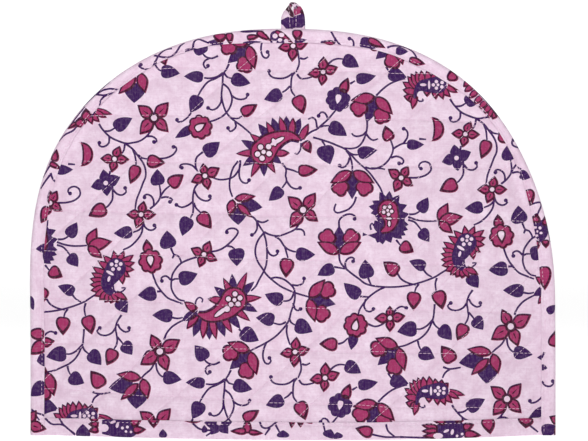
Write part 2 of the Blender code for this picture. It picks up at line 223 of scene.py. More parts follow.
PAISLEYS = (
    {  # the line through its body from head to tail, as x, y, radius
        "spine": (263, 152, 12.5, 271, 143, 10.5, 281, 137.5, 7.5, 291, 136, 4.5, 300, 140, 1.5),
        "spike_width": 7.8,
        "magenta": True,
        "magenta_spikes": (
            249.5, 133.5, 266, 121, 279.5, 115.5, 293, 117, 308.5, 123.5, 235.5, 153.5, 250.5, 177,
            275, 173,
        ),
        "more_spikes": (276, 153, 289.5, 152.5, 7.5, 1),  # root x, y, tip x, y, width, whether magenta
        "purple_spikes": (
            258, 123.5, 272, 117, 286, 115.5, 300.5, 118, 241, 140, 242.5, 166, 264, 176.5, 281.5, 163.5,
        ),
        "flower": (260.5, 147, 268.5, 146.5, 257.5, 154, 262, 158, 269, 153.5),
        "drops": (277, 141, 8, 2, -29, 274, 142, 2, 4, -20),  # ovals: middle x, y, half sizes, turn
        "curl": (301, 143, 300.5, 149, 297.5, 154, 294.5, 153),
    },
    {
        "spine": (234, 300, 12.5, 227, 308, 10.5, 217, 314.5, 7.5, 207, 316.5, 5, 198, 314, 1.5),
        "spike_width": 7.8,
        "magenta": True,
        "magenta_spikes": (
            223, 277.5, 247, 272, 261.5, 297, 250, 321, 232, 333, 216, 339.5, 202.5, 339,
            186.5, 329,
        ),
        "more_spikes": (
            222, 300.5, 207.5, 299, 8, 1, 196, 310, 184, 301.5, 8.5, 1, 197, 312, 182, 321, 9, 0,
        ),
        "purple_spikes": (
            214, 286.5, 232, 273.5, 254.5, 281.5, 257.5, 312, 240.5, 329, 225, 337, 209.5, 340, 193.5, 337,
        ),
        "flower": (235, 294, 240, 298, 238, 304, 231, 304.5, 228.5, 299),
        "drops": (221, 312, 8, 2, -37, 227, 309, 3, 3, 0),
        "curl": (197, 312, 195.5, 305, 197, 299.5, 200, 297.5, 203, 299.5, 202, 302.5),
    },
    {
        "spine": (388, 210, 10, 391, 220, 8, 388, 228, 5, 381, 232, 1.5),
        "spike_width": 8,
        "magenta": True,
        "border": (388, 211, 17, 392, 222, 16, 388, 232, 10, 378, 236, 6, 362.5, 234.5, 1),
        "magenta_spikes": (),
        "purple_spikes": (
            372, 201, 379.5, 192, 389.5, 191, 399.5, 195, 407, 205, 409, 214, 408.5, 225,
            408, 230, 405.5, 235.5, 402, 239, 391, 243, 382.5, 244.5, 377, 243, 368.5, 206.5,
            370.5, 213.5, 374.5, 220.5,
        ),
        "flower": (384.5, 207.5, 389.5, 207, 391.5, 211.5, 388.3, 214.5, 383.5, 212.3),
        "drops": (389, 218.7, 2.8, 1.1, 0, 389, 223.8, 1.3, 2.8, 0),
        "curl": (371, 230, 370, 226, 372, 223.5, 373.5, 226),
    },
    {
        "spine": (116, 268, 10, 111, 276, 9, 107.5, 283, 7, 108, 289.5, 4.5, 113, 294, 2.5),
        "spike_width": 8,
        "magenta": False,
        "magenta_spikes": (
            102.5, 255, 113.5, 250, 124, 250.5, 133.5, 254.5, 135, 262, 134.5, 269.5,
            130, 277, 97, 260.5, 92, 266.5, 91, 272.5, 89.5, 278.5, 89.5, 284.5,
            90.5, 290.5, 94, 296, 99, 300, 104.5, 302.5, 110.5, 303.5,
        ),
        "more_spikes": (
            121, 271, 122.5, 284.5, 7.5, 1, 113, 293, 118, 303, 6.5, 1, 116, 293, 127.5, 299.5, 7, 1,
        ),
        "purple_spikes": (),
        "flower": (116.5, 261.5, 120.7, 264, 119, 268.8, 113, 269.2, 111.6, 264.4),
        "drops": (109, 279, 1.4, 3, 15, 110, 273, 4.4, 1.5, 30),
        "curl": (113, 285, 114.5, 291, 119, 292.5, 123, 291, 125.5, 288, 121.5, 288),
    },
    {
        "spine": (438, 85, 8.5, 429, 85.5, 7.5, 421, 86.5, 6, 416, 91, 2.5, 414, 99, 1),
        "spike_width": 8,
        "magenta": False,
        "magenta_spikes": (
            402, 82, 402, 90, 403, 96.5, 407, 101, 407, 76, 410.5, 73, 415.5, 71,
            421, 70, 427, 69.5, 433, 72, 440, 73, 446.5, 76.5, 450.5, 97,
            443, 99.5, 435.5, 99.5, 426.5, 97,
        ),
        "more_spikes": (415, 96, 411.5, 109.5, 7, 1, 447, 85, 463, 89, 6, 1, 447, 87, 457.5, 92.5, 6, 1),
        "purple_spikes": (),
        "flower": (436.3, 81.7, 442, 82.6, 441.8, 87, 436.3, 88.2, 433.3, 85),
        "drops": (423, 85, 3.4, 1.5, 0, 429, 85, 1.2, 4.5, 0),
        "curl": (416, 93, 416, 98, 419, 101.5, 423, 101, 422, 99),
    },
)
STEMS = (
    (99, 124, 103, 130, 110, 137, 118, 141, 126, 143.5, 132, 143, 140, 141, 147, 136, 152, 129,
     154, 124),
    (105, 131.5, 110, 131, 115, 128), (125, 144, 124, 150, 122, 153.5),
    (126, 144, 133, 149.5, 138, 156, 143, 163, 145.5, 170, 145.5, 177, 143, 183, 140, 191,
     136.5, 200, 135, 210),
    (133, 150, 135, 156, 136, 165), (138, 155, 142, 158, 147, 159), (110, 171, 109, 176),
    (223, 73, 217, 77, 210, 78.5, 204, 78), (222, 75, 215, 79, 208, 82, 202, 89, 198, 96),
    (223, 73, 222.5, 84, 221.5, 95, 223, 104, 226, 112, 231, 118, 236, 122, 243, 127, 251, 134),
    (223, 84, 228, 88, 231, 94, 232, 100, 230, 107, 226, 113, 221, 117, 214, 120.5, 208, 122),
    (224, 73, 227, 77, 232, 78.5), (231, 117.5, 237, 118.5, 242, 116),
    (203, 152, 197, 157, 195.5, 162, 196, 168, 198, 172),
    (198, 184, 195, 188, 193.5, 194, 193, 200, 193.5, 207, 193, 213, 190.5, 218),
    (194, 203, 196, 208, 201, 213), (112, 186, 112.5, 193, 112, 200, 108, 206, 105, 208),
    (150, 209, 156, 204, 160, 198, 160.5, 192, 159.5, 185), (160, 197, 165, 190, 170, 186),
    (143, 222, 142, 232, 138, 239, 131, 246, 123, 250), (143, 226, 139, 230, 133, 232.5),
    (171, 248, 174, 254.5, 178, 256, 181, 261, 181, 264), (174, 255, 172.5, 258.5),
    (197, 257, 188, 260, 181, 263.5, 176, 269, 172.5, 275, 171.5, 282, 171.5, 288, 174, 294,
     179, 299.5, 185, 301),
    (171, 281, 175, 279, 179, 279), (157, 291.5, 162, 291.5), (172, 317.5, 178, 318.5, 183, 317.5),
    (152, 271, 154, 278, 157, 285, 162, 292, 168, 298, 175, 301, 183, 304),
    (164, 340, 167, 333, 172, 327, 178, 323, 184, 320),
    (155, 362, 151, 369, 145, 374, 141, 378), (156, 363, 157, 370, 160, 375, 163, 377),
    (122, 315, 118, 321, 116, 328, 117, 335, 117.5, 341, 116, 346, 114, 349),
    (117.5, 337, 121, 341, 124, 345), (220, 362, 214, 364.5, 208, 363, 204, 359),
    (227, 246, 232, 247, 235, 249.5),
    (238, 161, 233, 168, 230.5, 176, 229.5, 183, 230, 190, 232.5, 197),
    (240, 160, 240, 166, 238, 171, 233, 177, 225, 179.5, 218, 179.5, 211, 177),
    (249, 215, 254, 218, 257, 222, 260, 227, 264, 233), (257, 221, 262, 222.5, 266, 221.5, 268.5, 220),
    (264, 233, 259, 239, 256, 246, 255.5, 254, 258, 262, 262, 268, 266, 274, 271, 279, 280, 286,
     288, 290, 294, 292.5, 302, 295, 309, 297),
    (264, 234, 266, 241, 267, 250, 267, 258, 266, 266, 263, 273, 259, 280, 256, 286, 251, 291),
    (264, 232, 269, 234.5, 275, 236, 281, 235.5, 288, 233, 295, 229.5, 299, 224, 302, 219),
    (296, 229.5, 301, 229.5, 304, 232, 304.5, 236),
    (275, 236.5, 280, 240, 284, 246, 288, 249.5, 293, 251.5, 296, 252), (285, 247, 286.5, 253, 288, 258),
    (270, 279, 276, 277.5, 284, 279.5, 291, 285, 294, 289, 295, 295, 294, 303, 291, 312, 289, 320,
     286, 325, 282, 330, 276, 336, 269, 341, 262, 345, 256, 348, 250, 351),
    (294, 293, 291, 299, 287, 301, 283, 301), (286, 322, 280, 324.5, 273, 323),
    (289, 318, 291, 322.5, 295, 325), (287, 325, 286.5, 332, 288, 339, 290, 345),
    (239, 329, 242, 332), (299, 355, 300.5, 362, 301, 370, 298, 378),
    (295, 72, 292, 76, 291, 84, 291.5, 91, 295, 96), (290, 86, 286, 90, 282, 92.5),
    (297, 74, 300, 78, 305, 78.5, 312, 77), (302, 364, 306, 365, 310, 363),
    (330, 370, 335, 366, 340, 364.5, 345, 365), (231, 370, 228, 376, 225, 380),
    (282, 163, 286, 169, 285.5, 176, 286.5, 181, 282, 188), (286, 168.5, 292, 170, 298, 172.5),
    (300, 141, 311, 132, 316, 130, 322, 125, 327, 120.5, 331, 116, 336, 110),
    (317, 128, 315.5, 120, 312, 117.5, 308, 119.5), (320, 127, 325, 126, 329, 126),
    (313, 137.5, 321, 140, 330, 143, 337, 146, 344, 149, 350, 154, 356, 161, 363, 167, 370, 174,
     376, 182, 380, 188, 383, 195),
    (322, 141, 325, 146), (350, 84, 355, 81), (376, 96, 382, 90, 390, 84, 400, 80, 405, 79),
    (367, 121, 367, 127, 366, 133, 363, 141, 358, 147, 351, 149, 344, 148.5),
    (366, 132, 363, 135, 358, 136.5, 354, 136, 351.5, 133.5), (366, 134, 369, 138, 373, 140.5, 378, 139),
    (347, 152, 353, 155, 358, 155), (346, 151, 349.5, 156, 352, 165, 352, 172),
    (365, 167.5, 371, 169, 378, 168, 386, 163, 391, 156, 393, 149, 391, 142, 390, 139),
    (393, 149, 397, 146.5, 402, 144, 407, 143.5), (371, 168.5, 380, 168.5, 385, 169.5),
    (419, 139, 426, 139.5), (356, 197, 354, 203, 349, 209, 342, 212, 337, 213, 334, 210.5, 335, 206,
     336, 204),
    (339, 254, 339.5, 260, 342, 265, 346, 269, 352, 274, 359, 279, 364, 283, 371, 285.5, 383, 287,
     395, 287, 405, 286, 415, 284, 425, 281, 435, 277, 443, 272, 450, 268),
    (334, 267, 340, 268, 345, 269), (368, 278, 370, 283, 371, 285), (409, 214.5, 415, 214, 420, 211),
    (408, 217, 415, 219.5, 424, 221, 432, 221, 438, 220.5), (408, 220, 414, 222, 418, 226, 421, 230),
    (396, 240, 400, 245), (423, 269, 427, 274, 432, 277), (397, 273, 401, 279, 408, 283, 416, 285),
    (437, 278, 435.5, 284, 436.5, 291), (419, 284, 416, 288, 415, 292),
    (385, 287, 377, 291, 369, 297, 364, 303, 360, 309, 358, 315), (360, 296.5, 369, 297),
    (368, 324, 375, 326.5, 381, 325, 386, 322),
    (435, 304, 434.5, 312, 433, 320, 428, 331, 421, 338, 413, 342, 405, 345.5, 398, 347),
    (433, 320, 427, 326, 421, 329, 417, 329), (433, 321, 436, 326, 440, 329), (418, 341, 419, 346, 421, 350),
    (338, 344, 343, 342.5, 348, 338), (388, 373, 391, 378), (92, 392, 99, 394, 110, 392.5),
    (99, 394, 94, 398, 91.5, 403),
)
TENDRILS = (  # these end in a dot
    (147, 136.5, 152, 136.5, 156, 139, 156.5, 142, 154, 142),
    (109.5, 137, 109, 143, 106, 146, 102, 147, 99, 145, 99.5, 143),
    (160, 159, 167, 158, 173, 155, 176.5, 150, 175.5, 147, 173.5, 147),
    (191, 113, 188, 117, 183, 121, 178, 122, 177, 120),
    (221.5, 97, 221, 102, 217, 108, 212, 110, 208, 108),
    (232, 96, 236, 98.5, 241, 99.5, 246, 98, 247.5, 94.5),
    (235, 122, 236, 126, 234, 129.5, 230, 131.5, 228, 128),
    (197, 170, 192, 165.5, 186, 164, 181, 165, 180, 168, 182, 168),
    (194, 190, 198, 197, 203, 200.5, 208, 201, 211, 198.5, 210, 196.5),
    (193, 202, 188, 205.5, 182, 207.5, 178, 206, 176.5, 205),
    (112, 189, 117, 194, 122, 195, 126, 192, 125, 188),
    (161, 198, 166, 197, 170, 198, 172.5, 200, 170, 202),
    (154, 206, 153.5, 200, 151, 196, 147, 194.5, 144, 196, 144.5, 197.5),
    (143, 222, 145, 227, 149, 230, 153, 230, 156, 227.5, 154.5, 225.5),
    (171, 280, 168, 277, 165, 276, 161.5, 278, 162, 281),
    (116, 328, 112, 333, 106, 335.5, 100, 334.5, 97, 331, 100, 328),
    (118, 324, 121, 329, 126, 332, 130, 330.5, 129.5, 328),
    (212, 364, 207, 367, 205.5, 371, 208, 374.5, 210, 372),
    (210, 252, 218, 250.5, 225, 247, 232, 241, 237, 235, 238, 231, 234, 228.5, 229, 229, 226, 231.5,
     227, 232.5),
    (240, 163, 239, 173, 240, 179, 243, 182.5, 247, 183, 249, 180),
    (257, 222, 257, 229, 254.5, 233.5, 252, 235), (267, 250, 270, 254.5, 274, 256, 277.5, 254, 277.5, 251.5),
    (292, 285, 298, 285.5, 303, 283, 304, 278.5), (293, 303, 295, 309, 298, 310.5, 300.5, 309),
    (266, 343, 263.5, 350, 263, 357, 265, 362.5, 268.5, 364, 271, 361, 269.5, 358),
    (293, 73, 287, 77, 281, 78.5, 273, 77.5, 269, 74, 269, 71),
    (286.5, 181, 291, 187, 296, 189, 300, 188), (328, 119, 325, 113.5, 321, 112.5, 318.5, 116),
    (349.5, 158, 348, 163, 345, 167, 341, 168, 339.5, 166),
    (403, 144, 407, 138, 407.5, 133, 405.5, 130, 403.5, 129),
    (391, 158, 396, 156.5, 401, 158, 403.5, 161, 402, 164, 399, 163.5),
    (409, 178, 418, 177.5, 426, 175, 431, 170, 430, 164, 425, 161.5, 420, 163.5, 419, 167, 421, 168.5),
    (339, 227, 339, 221, 342, 217, 347, 214.5, 352, 214.5, 355.5, 217, 354.5, 219),
    (346, 269, 345, 264, 347, 259.5, 351, 257.5, 354, 259, 353, 261.5),
    (366, 299, 364, 306, 367, 311, 371, 311.5, 373.5, 309),
    (393, 313, 398, 308, 402, 306.5, 406.5, 308),
)

# How the motifs are drawn, in chart units.
STEM_REACH = 1.0  # a leaf's base covers the end of its stem this far
SPIKE_LINE = 1.3  # the dark line round a paisley's spikes
SPIKE_BROAD = 0.42  # where a spike is widest, from its base
COLLAR = 2.0  # the dark ring round a magenta body that its spikes grow from
MAGENTA_RIM, DARK_RIM = 1.0, 0.2  # how far a body's dark edge lies outside its line
BORDER_IN = 3.0  # how far inside its line a paisley's dark border is drawn
OVERPRINT = 0.4  # how far a body's dark edge prints over the magenta of its spikes
BODY_OUT, BODY_IN = 0.9, 1.1  # how far outside its line a body is magenta, and inside it dark
PURPLE_BEND, MAGENTA_BEND = 0.22, 0.16  # how far leaves bend, as a share of their width
MARK_LINE = 1.3  # the dark line round the white marks on a magenta body
OUTLINE = 1.9  # the dark line round magenta shapes
STEM_WIDE = 2.0
DOT_RADIUS = 2.0
LEAF_POINTS, PETAL_POINTS = 22, 18
LOTUS_LOBE = math.radians(10)  # where an upper petal's outer lobe points
LEAF_POWER = 0.95  # how sharply a leaf runs out to its tip
LEAF_FULL = 0.785  # about the widest that the leaf's formula gets before it is scaled
LEAF_BENT = 0.45  # a leaf bends from here on
PETAL_BROAD = 0.46  # where a petal is widest, from its base
LONG_PETAL = 17  # from here on a cross flower's petals are slimmer
ROSETTE_RADIUS = 12.6
LOTUS_RADIUS, LOTUS_OUT, LOTUS_UP = 9.4, 12, 15.5  # its two lobed petals, and their middles
LOBE_ROUND = 0.7  # how full the lobes of both are
LEAF_NOTCH = 0.05  # how far the stem side of a leaf is pressed in, as a share of its length
MISPRINT = (0.5, 0.55)  # the magenta block was printed this far right and down
MAGENTA, PURPLE = 0, 1  # the two printed layers
GROUND_INK, MAGENTA_INK, PURPLE_INK = 0.0, 1.0, 2.0  # where both blocks print, their sum


# ---- drawing: every motif is a list of (layer, whether inked, outline) ----


def pairs(numbers):
    return np.array(numbers, float).reshape(-1, 2)


def frame_of(base, tip):
    """Length of the run from base to tip, and the unit vectors along and to its side."""
    run = np.subtract(tip, base)
    length = np.hypot(*run)
    along = run / length
    return length, along, np.array([-along[1], along[0]])


def placed(base, tip, across, up):
    """Points given as shares of the length along, and as chart units to the side."""
    length, along, side = frame_of(base, tip)
    return base + np.outer(np.multiply(up, length), along) + np.outer(across, side)


def leaf_outline(base, tip, width, bend=0.0, points=LEAF_POINTS):
    """Round and a little notched at its base, pointed at its tip."""
    base = np.array(base, float)
    base = base - frame_of(base, tip)[1] * STEM_REACH
    turn = np.linspace(0, 2 * math.pi, points, endpoint=False)
    up = (1 + np.cos(turn)) / 2 + LEAF_NOTCH * np.exp(-(((turn - math.pi) / 0.35) ** 2))
    across = np.sin(turn) * np.abs(np.sin(turn / 2)) ** LEAF_POWER
    across = across / LEAF_FULL * width / 2 * (1 + 0.10 * (1 - up))
    across = across + bend * width * (np.maximum(up - LEAF_BENT, 0) ** 2 * 2 - 0.15)
    return placed(base, tip, across, up)


def petal_outline(base, tip, width, bend=0.0, points=PETAL_POINTS):
    """Narrow at its base, widest at the middle, with nearly straight sides to a pointed tip."""
    share = np.linspace(0, 1, points // 2 + 1)
    swell = np.sin(math.pi / 2 * np.minimum(share / PETAL_BROAD, 1)) ** 0.6
    fall = 1 - np.clip((share - PETAL_BROAD) / (1 - PETAL_BROAD), 0, 1) ** 1.4
    half = width / 2 * swell * fall
    up = np.concatenate([share, share[-2:0:-1]])
    across = np.concatenate([half, -half[-2:0:-1]]) + bend * width * up**2
    return placed(base, tip, across, up)


def disc(middle, radius, points=12, stretch=1.0):
    turn = np.linspace(0, 2 * math.pi, points, endpoint=False)
    return middle + np.column_stack([radius * np.cos(turn), radius * stretch * np.sin(turn)])


def oval(x, y, wide, high, turn, points=10):
    """An oval blob, turned by this many degrees."""
    shape = disc((0, 0), 1, points) * (wide, high)
    angle = math.radians(turn)
    spin = np.array([[math.cos(angle), math.sin(angle)], [-math.sin(angle), math.cos(angle)]])
    return shape @ spin + (x, y)


def smooth_line(points, step=2.2):
    """A Catmull-Rom curve through the points, with points about a step apart."""
    ends = np.vstack([2 * points[0] - points[1], points, 2 * points[-1] - points[-2]])
    found = []
    for a, b, c, d in zip(ends, ends[1:], ends[2:], ends[3:]):
        count = max(2, int(round(np.hypot(*(c - b)) / step)))
        for t in np.linspace(0, 1, count, endpoint=False):
            found.append(
                (2 * b + (c - a) * t + (2 * a - 5 * b + 4 * c - d) * t**2
                 + (3 * b - a - 3 * c + d) * t**3) / 2
            )
    return np.array(found + [points[-1]])


def ahead(line):
    """Unit vectors along a line at each of its points."""
    run = np.gradient(line, axis=0)
    return run / np.hypot(*run.T)[:, None]


def sideways(run):
    """The same vectors, a quarter turn on."""
    return np.column_stack([-run[:, 1], run[:, 0]])


def ribbon(line, halves):
    """The outline of a line that has these half widths."""
    side = sideways(ahead(line)) * halves[:, None]
    return np.concatenate([line + side, (line - side)[::-1]])


def stem(numbers, dot=False, wide=STEM_WIDE):
    line = smooth_line(pairs(numbers))
    taper = np.interp(np.arange(len(line)), [0, 2, len(line) - 3, len(line) - 1], [1.15, 1, 0.95, 0.8])
    made = [(PURPLE, True, ribbon(line, wide / 2 * taper))]
    if dot:
        made.append((PURPLE, True, disc(line[-1], DOT_RADIUS)))
    return made


def shrunk(outer, by):
    """A closed outline moved inwards by this much, or outwards if minus."""
    run = np.roll(outer, -1, axis=0) - np.roll(outer, 1, axis=0)
    run /= np.maximum(np.hypot(*run.T), 1e-9)[:, None]
    x, y = outer.T
    hand = np.sign((x * np.roll(y, -1) - y * np.roll(x, -1)).sum())
    inner = outer + sideways(run) * hand * by
    apart = np.hypot(*(inner[:, None] - outer[None]).transpose(2, 0, 1)).min(axis=1)
    return inner[apart > abs(by) * 0.9]


def outlined(outer, inner):
    """A magenta shape inside a dark line."""
    return [(PURPLE, True, outer), (MAGENTA, True, outer + MISPRINT), (PURPLE, False, inner)]


def purple_leaf(base, tip, width, bend=0.0):
    return [(PURPLE, True, leaf_outline(base, tip, width, bend))]


def magenta_leaf(base, tip, width, bend=0.0):
    base, tip = np.array(base, float), np.array(tip, float)
    along = frame_of(base, tip)[1]
    inner = leaf_outline(base + along * OUTLINE, tip - along * OUTLINE * 2.2, width - 2 * OUTLINE, bend)
    return outlined(leaf_outline(base, tip, width, bend), inner)


def magenta_petal(base, tip, width, bend=0.0, line=OUTLINE):
    base, tip = np.array(base, float), np.array(tip, float)
    along = frame_of(base, tip)[1]
    inner = petal_outline(base + along * line * 1.2, tip - along * line * 1.6, width - 2 * line, bend)
    return outlined(petal_outline(base, tip, width, bend), inner)


def leaves(rows, draw, bend=0.0):
    """A leaf for each row of base x, y, tip x, y and width; they bend one way and the other in turn."""
    return [draw(row[:2], row[2:4], row[4], bend * (-1) ** i) for i, row in enumerate(rows)]


def white(shape):
    return [(PURPLE, False, shape), (MAGENTA, False, shape)]


def four_tips(row):
    middle = np.array(row[:2], float)
    return middle, pairs(row[2:])


def cross_flower(row, magenta=True):
    middle, tips = four_tips(row)
    reach = np.mean(np.hypot(*(tips - middle).T))
    made = []
    for i, tip in enumerate(tips):
        length, along, _ = frame_of(middle, tip)
        root = middle + along * 0.05 * length
        wide = (0.62 if length > LONG_PETAL else 0.68) * length * (1.0 if magenta else 1.12)
        bend = 0.10 * (-1) ** i
        if magenta:
            made += magenta_petal(root, tip, wide, bend)
            vein = placed(root, tip, [0.0, 0.8, 0.5, 0, -0.5, -0.8], [0.28, 0.36, 0.5, 0.66, 0.5, 0.36])
            made.append((PURPLE, True, vein))
        else:
            made.append((PURPLE, True, petal_outline(root, tip, wide, bend)))
    ring, eye = (0.27, 0.13) if magenta else (0.34, 0.14)
    made.append((PURPLE, True, disc(middle, ring * reach)))
    return made + white(disc(middle, eye * reach + 0.3))


def rosette(row):
    x, y, to_x, to_y, magenta = row
    middle = np.array([x, y], float)
    turn = np.linspace(0, 2 * math.pi, 48, endpoint=False)
    edge = ROSETTE_RADIUS * (0.84 + 0.16 * np.abs(np.cos(4 * turn + 0.6)) ** LOBE_ROUND)
    circle = np.column_stack([np.cos(turn), np.sin(turn)])
    outer = middle + circle * edge[:, None]
    made = outlined(outer, shrunk(outer, OUTLINE)) if magenta else [(PURPLE, True, outer)]
    along = frame_of((x, y), (to_x, to_y))[1]
    heel = middle - along * 4.2
    if magenta:
        made.append((PURPLE, True, leaf_outline(heel - along * 1.6, middle + along * 8.2, 8.6)))
    return made + white(leaf_outline(heel, middle + along * 4.6, 5.4))


def lotus(row):
    base, towards = np.array(row[:2], float), np.array(row[2:], float)
    _, along, side = frame_of(base, towards)

    def spot(across, up):
        return base + side * across + along * up

    made = [(PURPLE, True, petal_outline(spot(0, -1), spot(0, 27.5), 14.5))]
    for hand in (-1, 1):
        middle = spot(LOTUS_OUT * hand, LOTUS_UP)
        turn = np.linspace(0, 2 * math.pi, 32, endpoint=False)
        beat = np.abs(np.cos(2 * (turn - LOTUS_LOBE))) ** LOBE_ROUND
        lobes = LOTUS_RADIUS * (0.78 + 0.22 * beat)
        ring = np.outer(lobes * np.cos(turn), side * hand) + np.outer(lobes * np.sin(turn), along)
        made += outlined(middle + ring, middle + ring * (1 - OUTLINE / 8.4))
    for hand in (-1, 1):
        made += magenta_petal(spot(0, -0.5), spot(21.5 * hand, 12.5), 12.5, 0.12 * hand)
    return made


def crescent(x, y, radius, hollow):
    """A half moon with a round belly to the right, its straight side hollowed by this share."""
    turn = np.radians(np.linspace(-105, 105, 15))
    ends = math.cos(turn[0])
    belly = np.column_stack([np.cos(turn), np.sin(turn)])
    bite = np.column_stack([ends + (np.cos(turn) - ends) * hollow, np.sin(turn)])[-2:0:-1]
    outer = np.vstack([belly, bite]) * radius + (x, y)
    return outlined(outer, shrunk(outer, OUTLINE))


def tulip(row):
    made = []
    base, scale = np.array(row[:2], float), np.array(row[2:], float)
    for x, y, to_x, to_y, wide in TULIP_LOBES:
        root, tip = base + (x, y) * scale, base + (to_x, to_y) * scale
        made.append((PURPLE, True, leaf_outline(root, tip, wide * scale[1])))
    for x, y, to_x, to_y, wide in TULIP_PETALS:
        made += magenta_petal(base + (x, y) * scale, base + (to_x, to_y) * scale, wide * scale[1])
    return made


def bud(row):
    base = np.array(row[:2], float)
    made = []
    for tip in pairs(row[2:]):
        made += magenta_petal(base, tip, 0.48 * frame_of(base, tip)[0] + 1.5)
    return made


def spike_outline(base, tip, width):
    """A paisley's spike: full at its base, with a blunt point."""
    share = np.linspace(0, 1, 8)
    swell = 0.8 + 0.2 * np.sin(math.pi / 2 * np.minimum(share / SPIKE_BROAD, 1))
    fall = 1 - np.clip((share - SPIKE_BROAD) / (1 - SPIKE_BROAD), 0, 1) ** 1.7
    half = width / 2 * swell * fall
    across = np.concatenate([half, -half[-2::-1]])
    return placed(base, tip, across, np.concatenate([share, share[-2::-1]]))


def spike(base, tip, width, magenta):
    outer = spike_outline(base, tip, width)
    if not magenta:
        return [(PURPLE, True, outer)]
    inner_tip = tip - frame_of(base, tip)[1] * SPIKE_LINE * 1.8
    return outlined(outer, spike_outline(base, inner_tip, width - 2 * SPIKE_LINE))


def teardrop(numbers, extra=0.0):
    """The outline of a line that starts with a round head and has its own radius at each point."""
    rows = np.array(numbers, float).reshape(-1, 3)
    line = smooth_line(rows[:, :2], 2.5)
    places = np.linspace(0, len(rows) - 1, len(line))
    radii = np.interp(places, range(len(rows)), rows[:, 2]) + extra
    run = ahead(line)
    side = sideways(run) * radii[:, None]
    turn = np.linspace(0, math.pi, 12)[1:-1]
    cap = line[0] + radii[0] * (
        np.outer(np.cos(turn), side[0] / radii[0]) * -1 - np.outer(np.sin(turn), run[0])
    )
    return np.concatenate([line + side, (line - side)[::-1], cap])


def paisley(part):
    rows = np.array(part["spine"], float).reshape(-1, 3)
    line = smooth_line(rows[:, :2], 2.0)
    rim, collar = (MAGENTA_RIM, COLLAR) if part["magenta"] else (DARK_RIM, DARK_RIM)
    made = [] if "border" in part else [(PURPLE, True, teardrop(part["spine"], collar))]
    for magenta, tips in ((False, part["purple_spikes"]), (True, part["magenta_spikes"])):
        for tip in pairs(tips):
            near = np.argmin(np.hypot(*(line - tip).T))
            root = line[near] + (tip - line[near]) * 0.1
            made += spike(root, tip, part["spike_width"] * (1.0 if magenta else 1.15), magenta)
    for x, y, to_x, to_y, wide, magenta in np.array(part.get("more_spikes", ()), float).reshape(-1, 6):
        made += spike(np.array([x, y]), np.array([to_x, to_y]), wide, magenta)
    if "border" in part:
        made.append((PURPLE, True, teardrop(part["border"], -BORDER_IN)))
    made.append((MAGENTA, False, teardrop(part["spine"], rim - OVERPRINT)))
    made.append((PURPLE, True, teardrop(part["spine"], rim)))
    petals = pairs(part["flower"])
    head = petals.mean(axis=0)
    petal_size = 0.43 * np.hypot(*(petals - head).T).mean()
    marks = [oval(*row) for row in np.array(part["drops"], float).reshape(-1, 5)]
    if part["magenta"]:
        made.append((MAGENTA, True, teardrop(part["spine"], BODY_OUT)))
        made.append((PURPLE, False, teardrop(part["spine"], -BODY_IN)))
        for petal in petals:
            made.append((PURPLE, True, disc(petal, petal_size + MARK_LINE)))
        made.append((PURPLE, True, disc(head, petal_size + MARK_LINE)))
        for shape in marks:
            made.append((PURPLE, True, shrunk(shape, -MARK_LINE)))
    made += stem(part["curl"], wide=1.8)
    for petal in petals:
        made += white(disc(petal, petal_size, 9))
    made += white(disc(head, petal_size * 0.8, 9))
    for shape in marks:
        made += white(shape)
    return made


def one_repeat():
    """Every motif of the chart once, from the lowest layer up."""
    made = [stem(row) for row in STEMS] + [stem(row, dot=True) for row in TENDRILS]
    made += leaves(PURPLE_LEAVES, purple_leaf, PURPLE_BEND)
    made += leaves(MAGENTA_LEAVES, magenta_leaf, MAGENTA_BEND)
    for row in ROSETTE_LEAVES:
        made += leaves([row], magenta_leaf if row[5] else purple_leaf)
    made += [rosette(row) for row in ROSETTES]
    made += [cross_flower(row) for row in CROSS_FLOWERS]
    made += [cross_flower(row, magenta=False) for row in PURPLE_FLOWERS]
    made += [lotus(row) for row in LOTUSES]
    made += [tulip(row) for row in TULIPS]
    made += [bud(row) for row in BUDS]
    made += [crescent(*row) for row in CRESCENTS]
    made += [paisley(row) for row in PAISLEYS]
    return made


def on_cloth(points):
    """Chart places as (x, z) in metres, as seen from the front."""
    return (points - (CHART_X, CHART_Z)) * (CHART_UNIT, -CHART_UNIT)


def all_over(edge, shift=(0, 0), turned=False, reach=range(-2, 3)):
    """The print laid all over a piece of cloth: the motifs that reach inside its edge."""
    low, high = edge.min(axis=0), edge.max(axis=0)
    made = []
    for motif in one_repeat():
        for i in reach:
            for j in reach:
                move = np.multiply(i, REPEAT_ACROSS) + np.multiply(j, REPEAT_DOWN) + shift
                shapes = []
                for layer, inked, shape in motif:
                    flat = on_cloth(shape + move)
                    shapes.append((layer, inked, flat[:, ::-1] if turned else flat))
                whole = np.concatenate([shape for *_, shape in shapes])
                if (whole.max(axis=0) > low).all() and (whole.min(axis=0) < high).all():
                    made += shapes
    return made


# ---- the flat cloth, triangulated round its print ----


def within(line, points):
    """Which points lie inside the closed line."""
    x, z = points.T
    inside = np.zeros(len(points), bool)
    for (ax, az), (bx, bz) in zip(line, np.roll(line, -1, axis=0)):
        if az == bz:
            continue
        inside ^= ((az > z) != (bz > z)) & (x < (bx - ax) * (z - az) / (bz - az) + ax)
    return inside


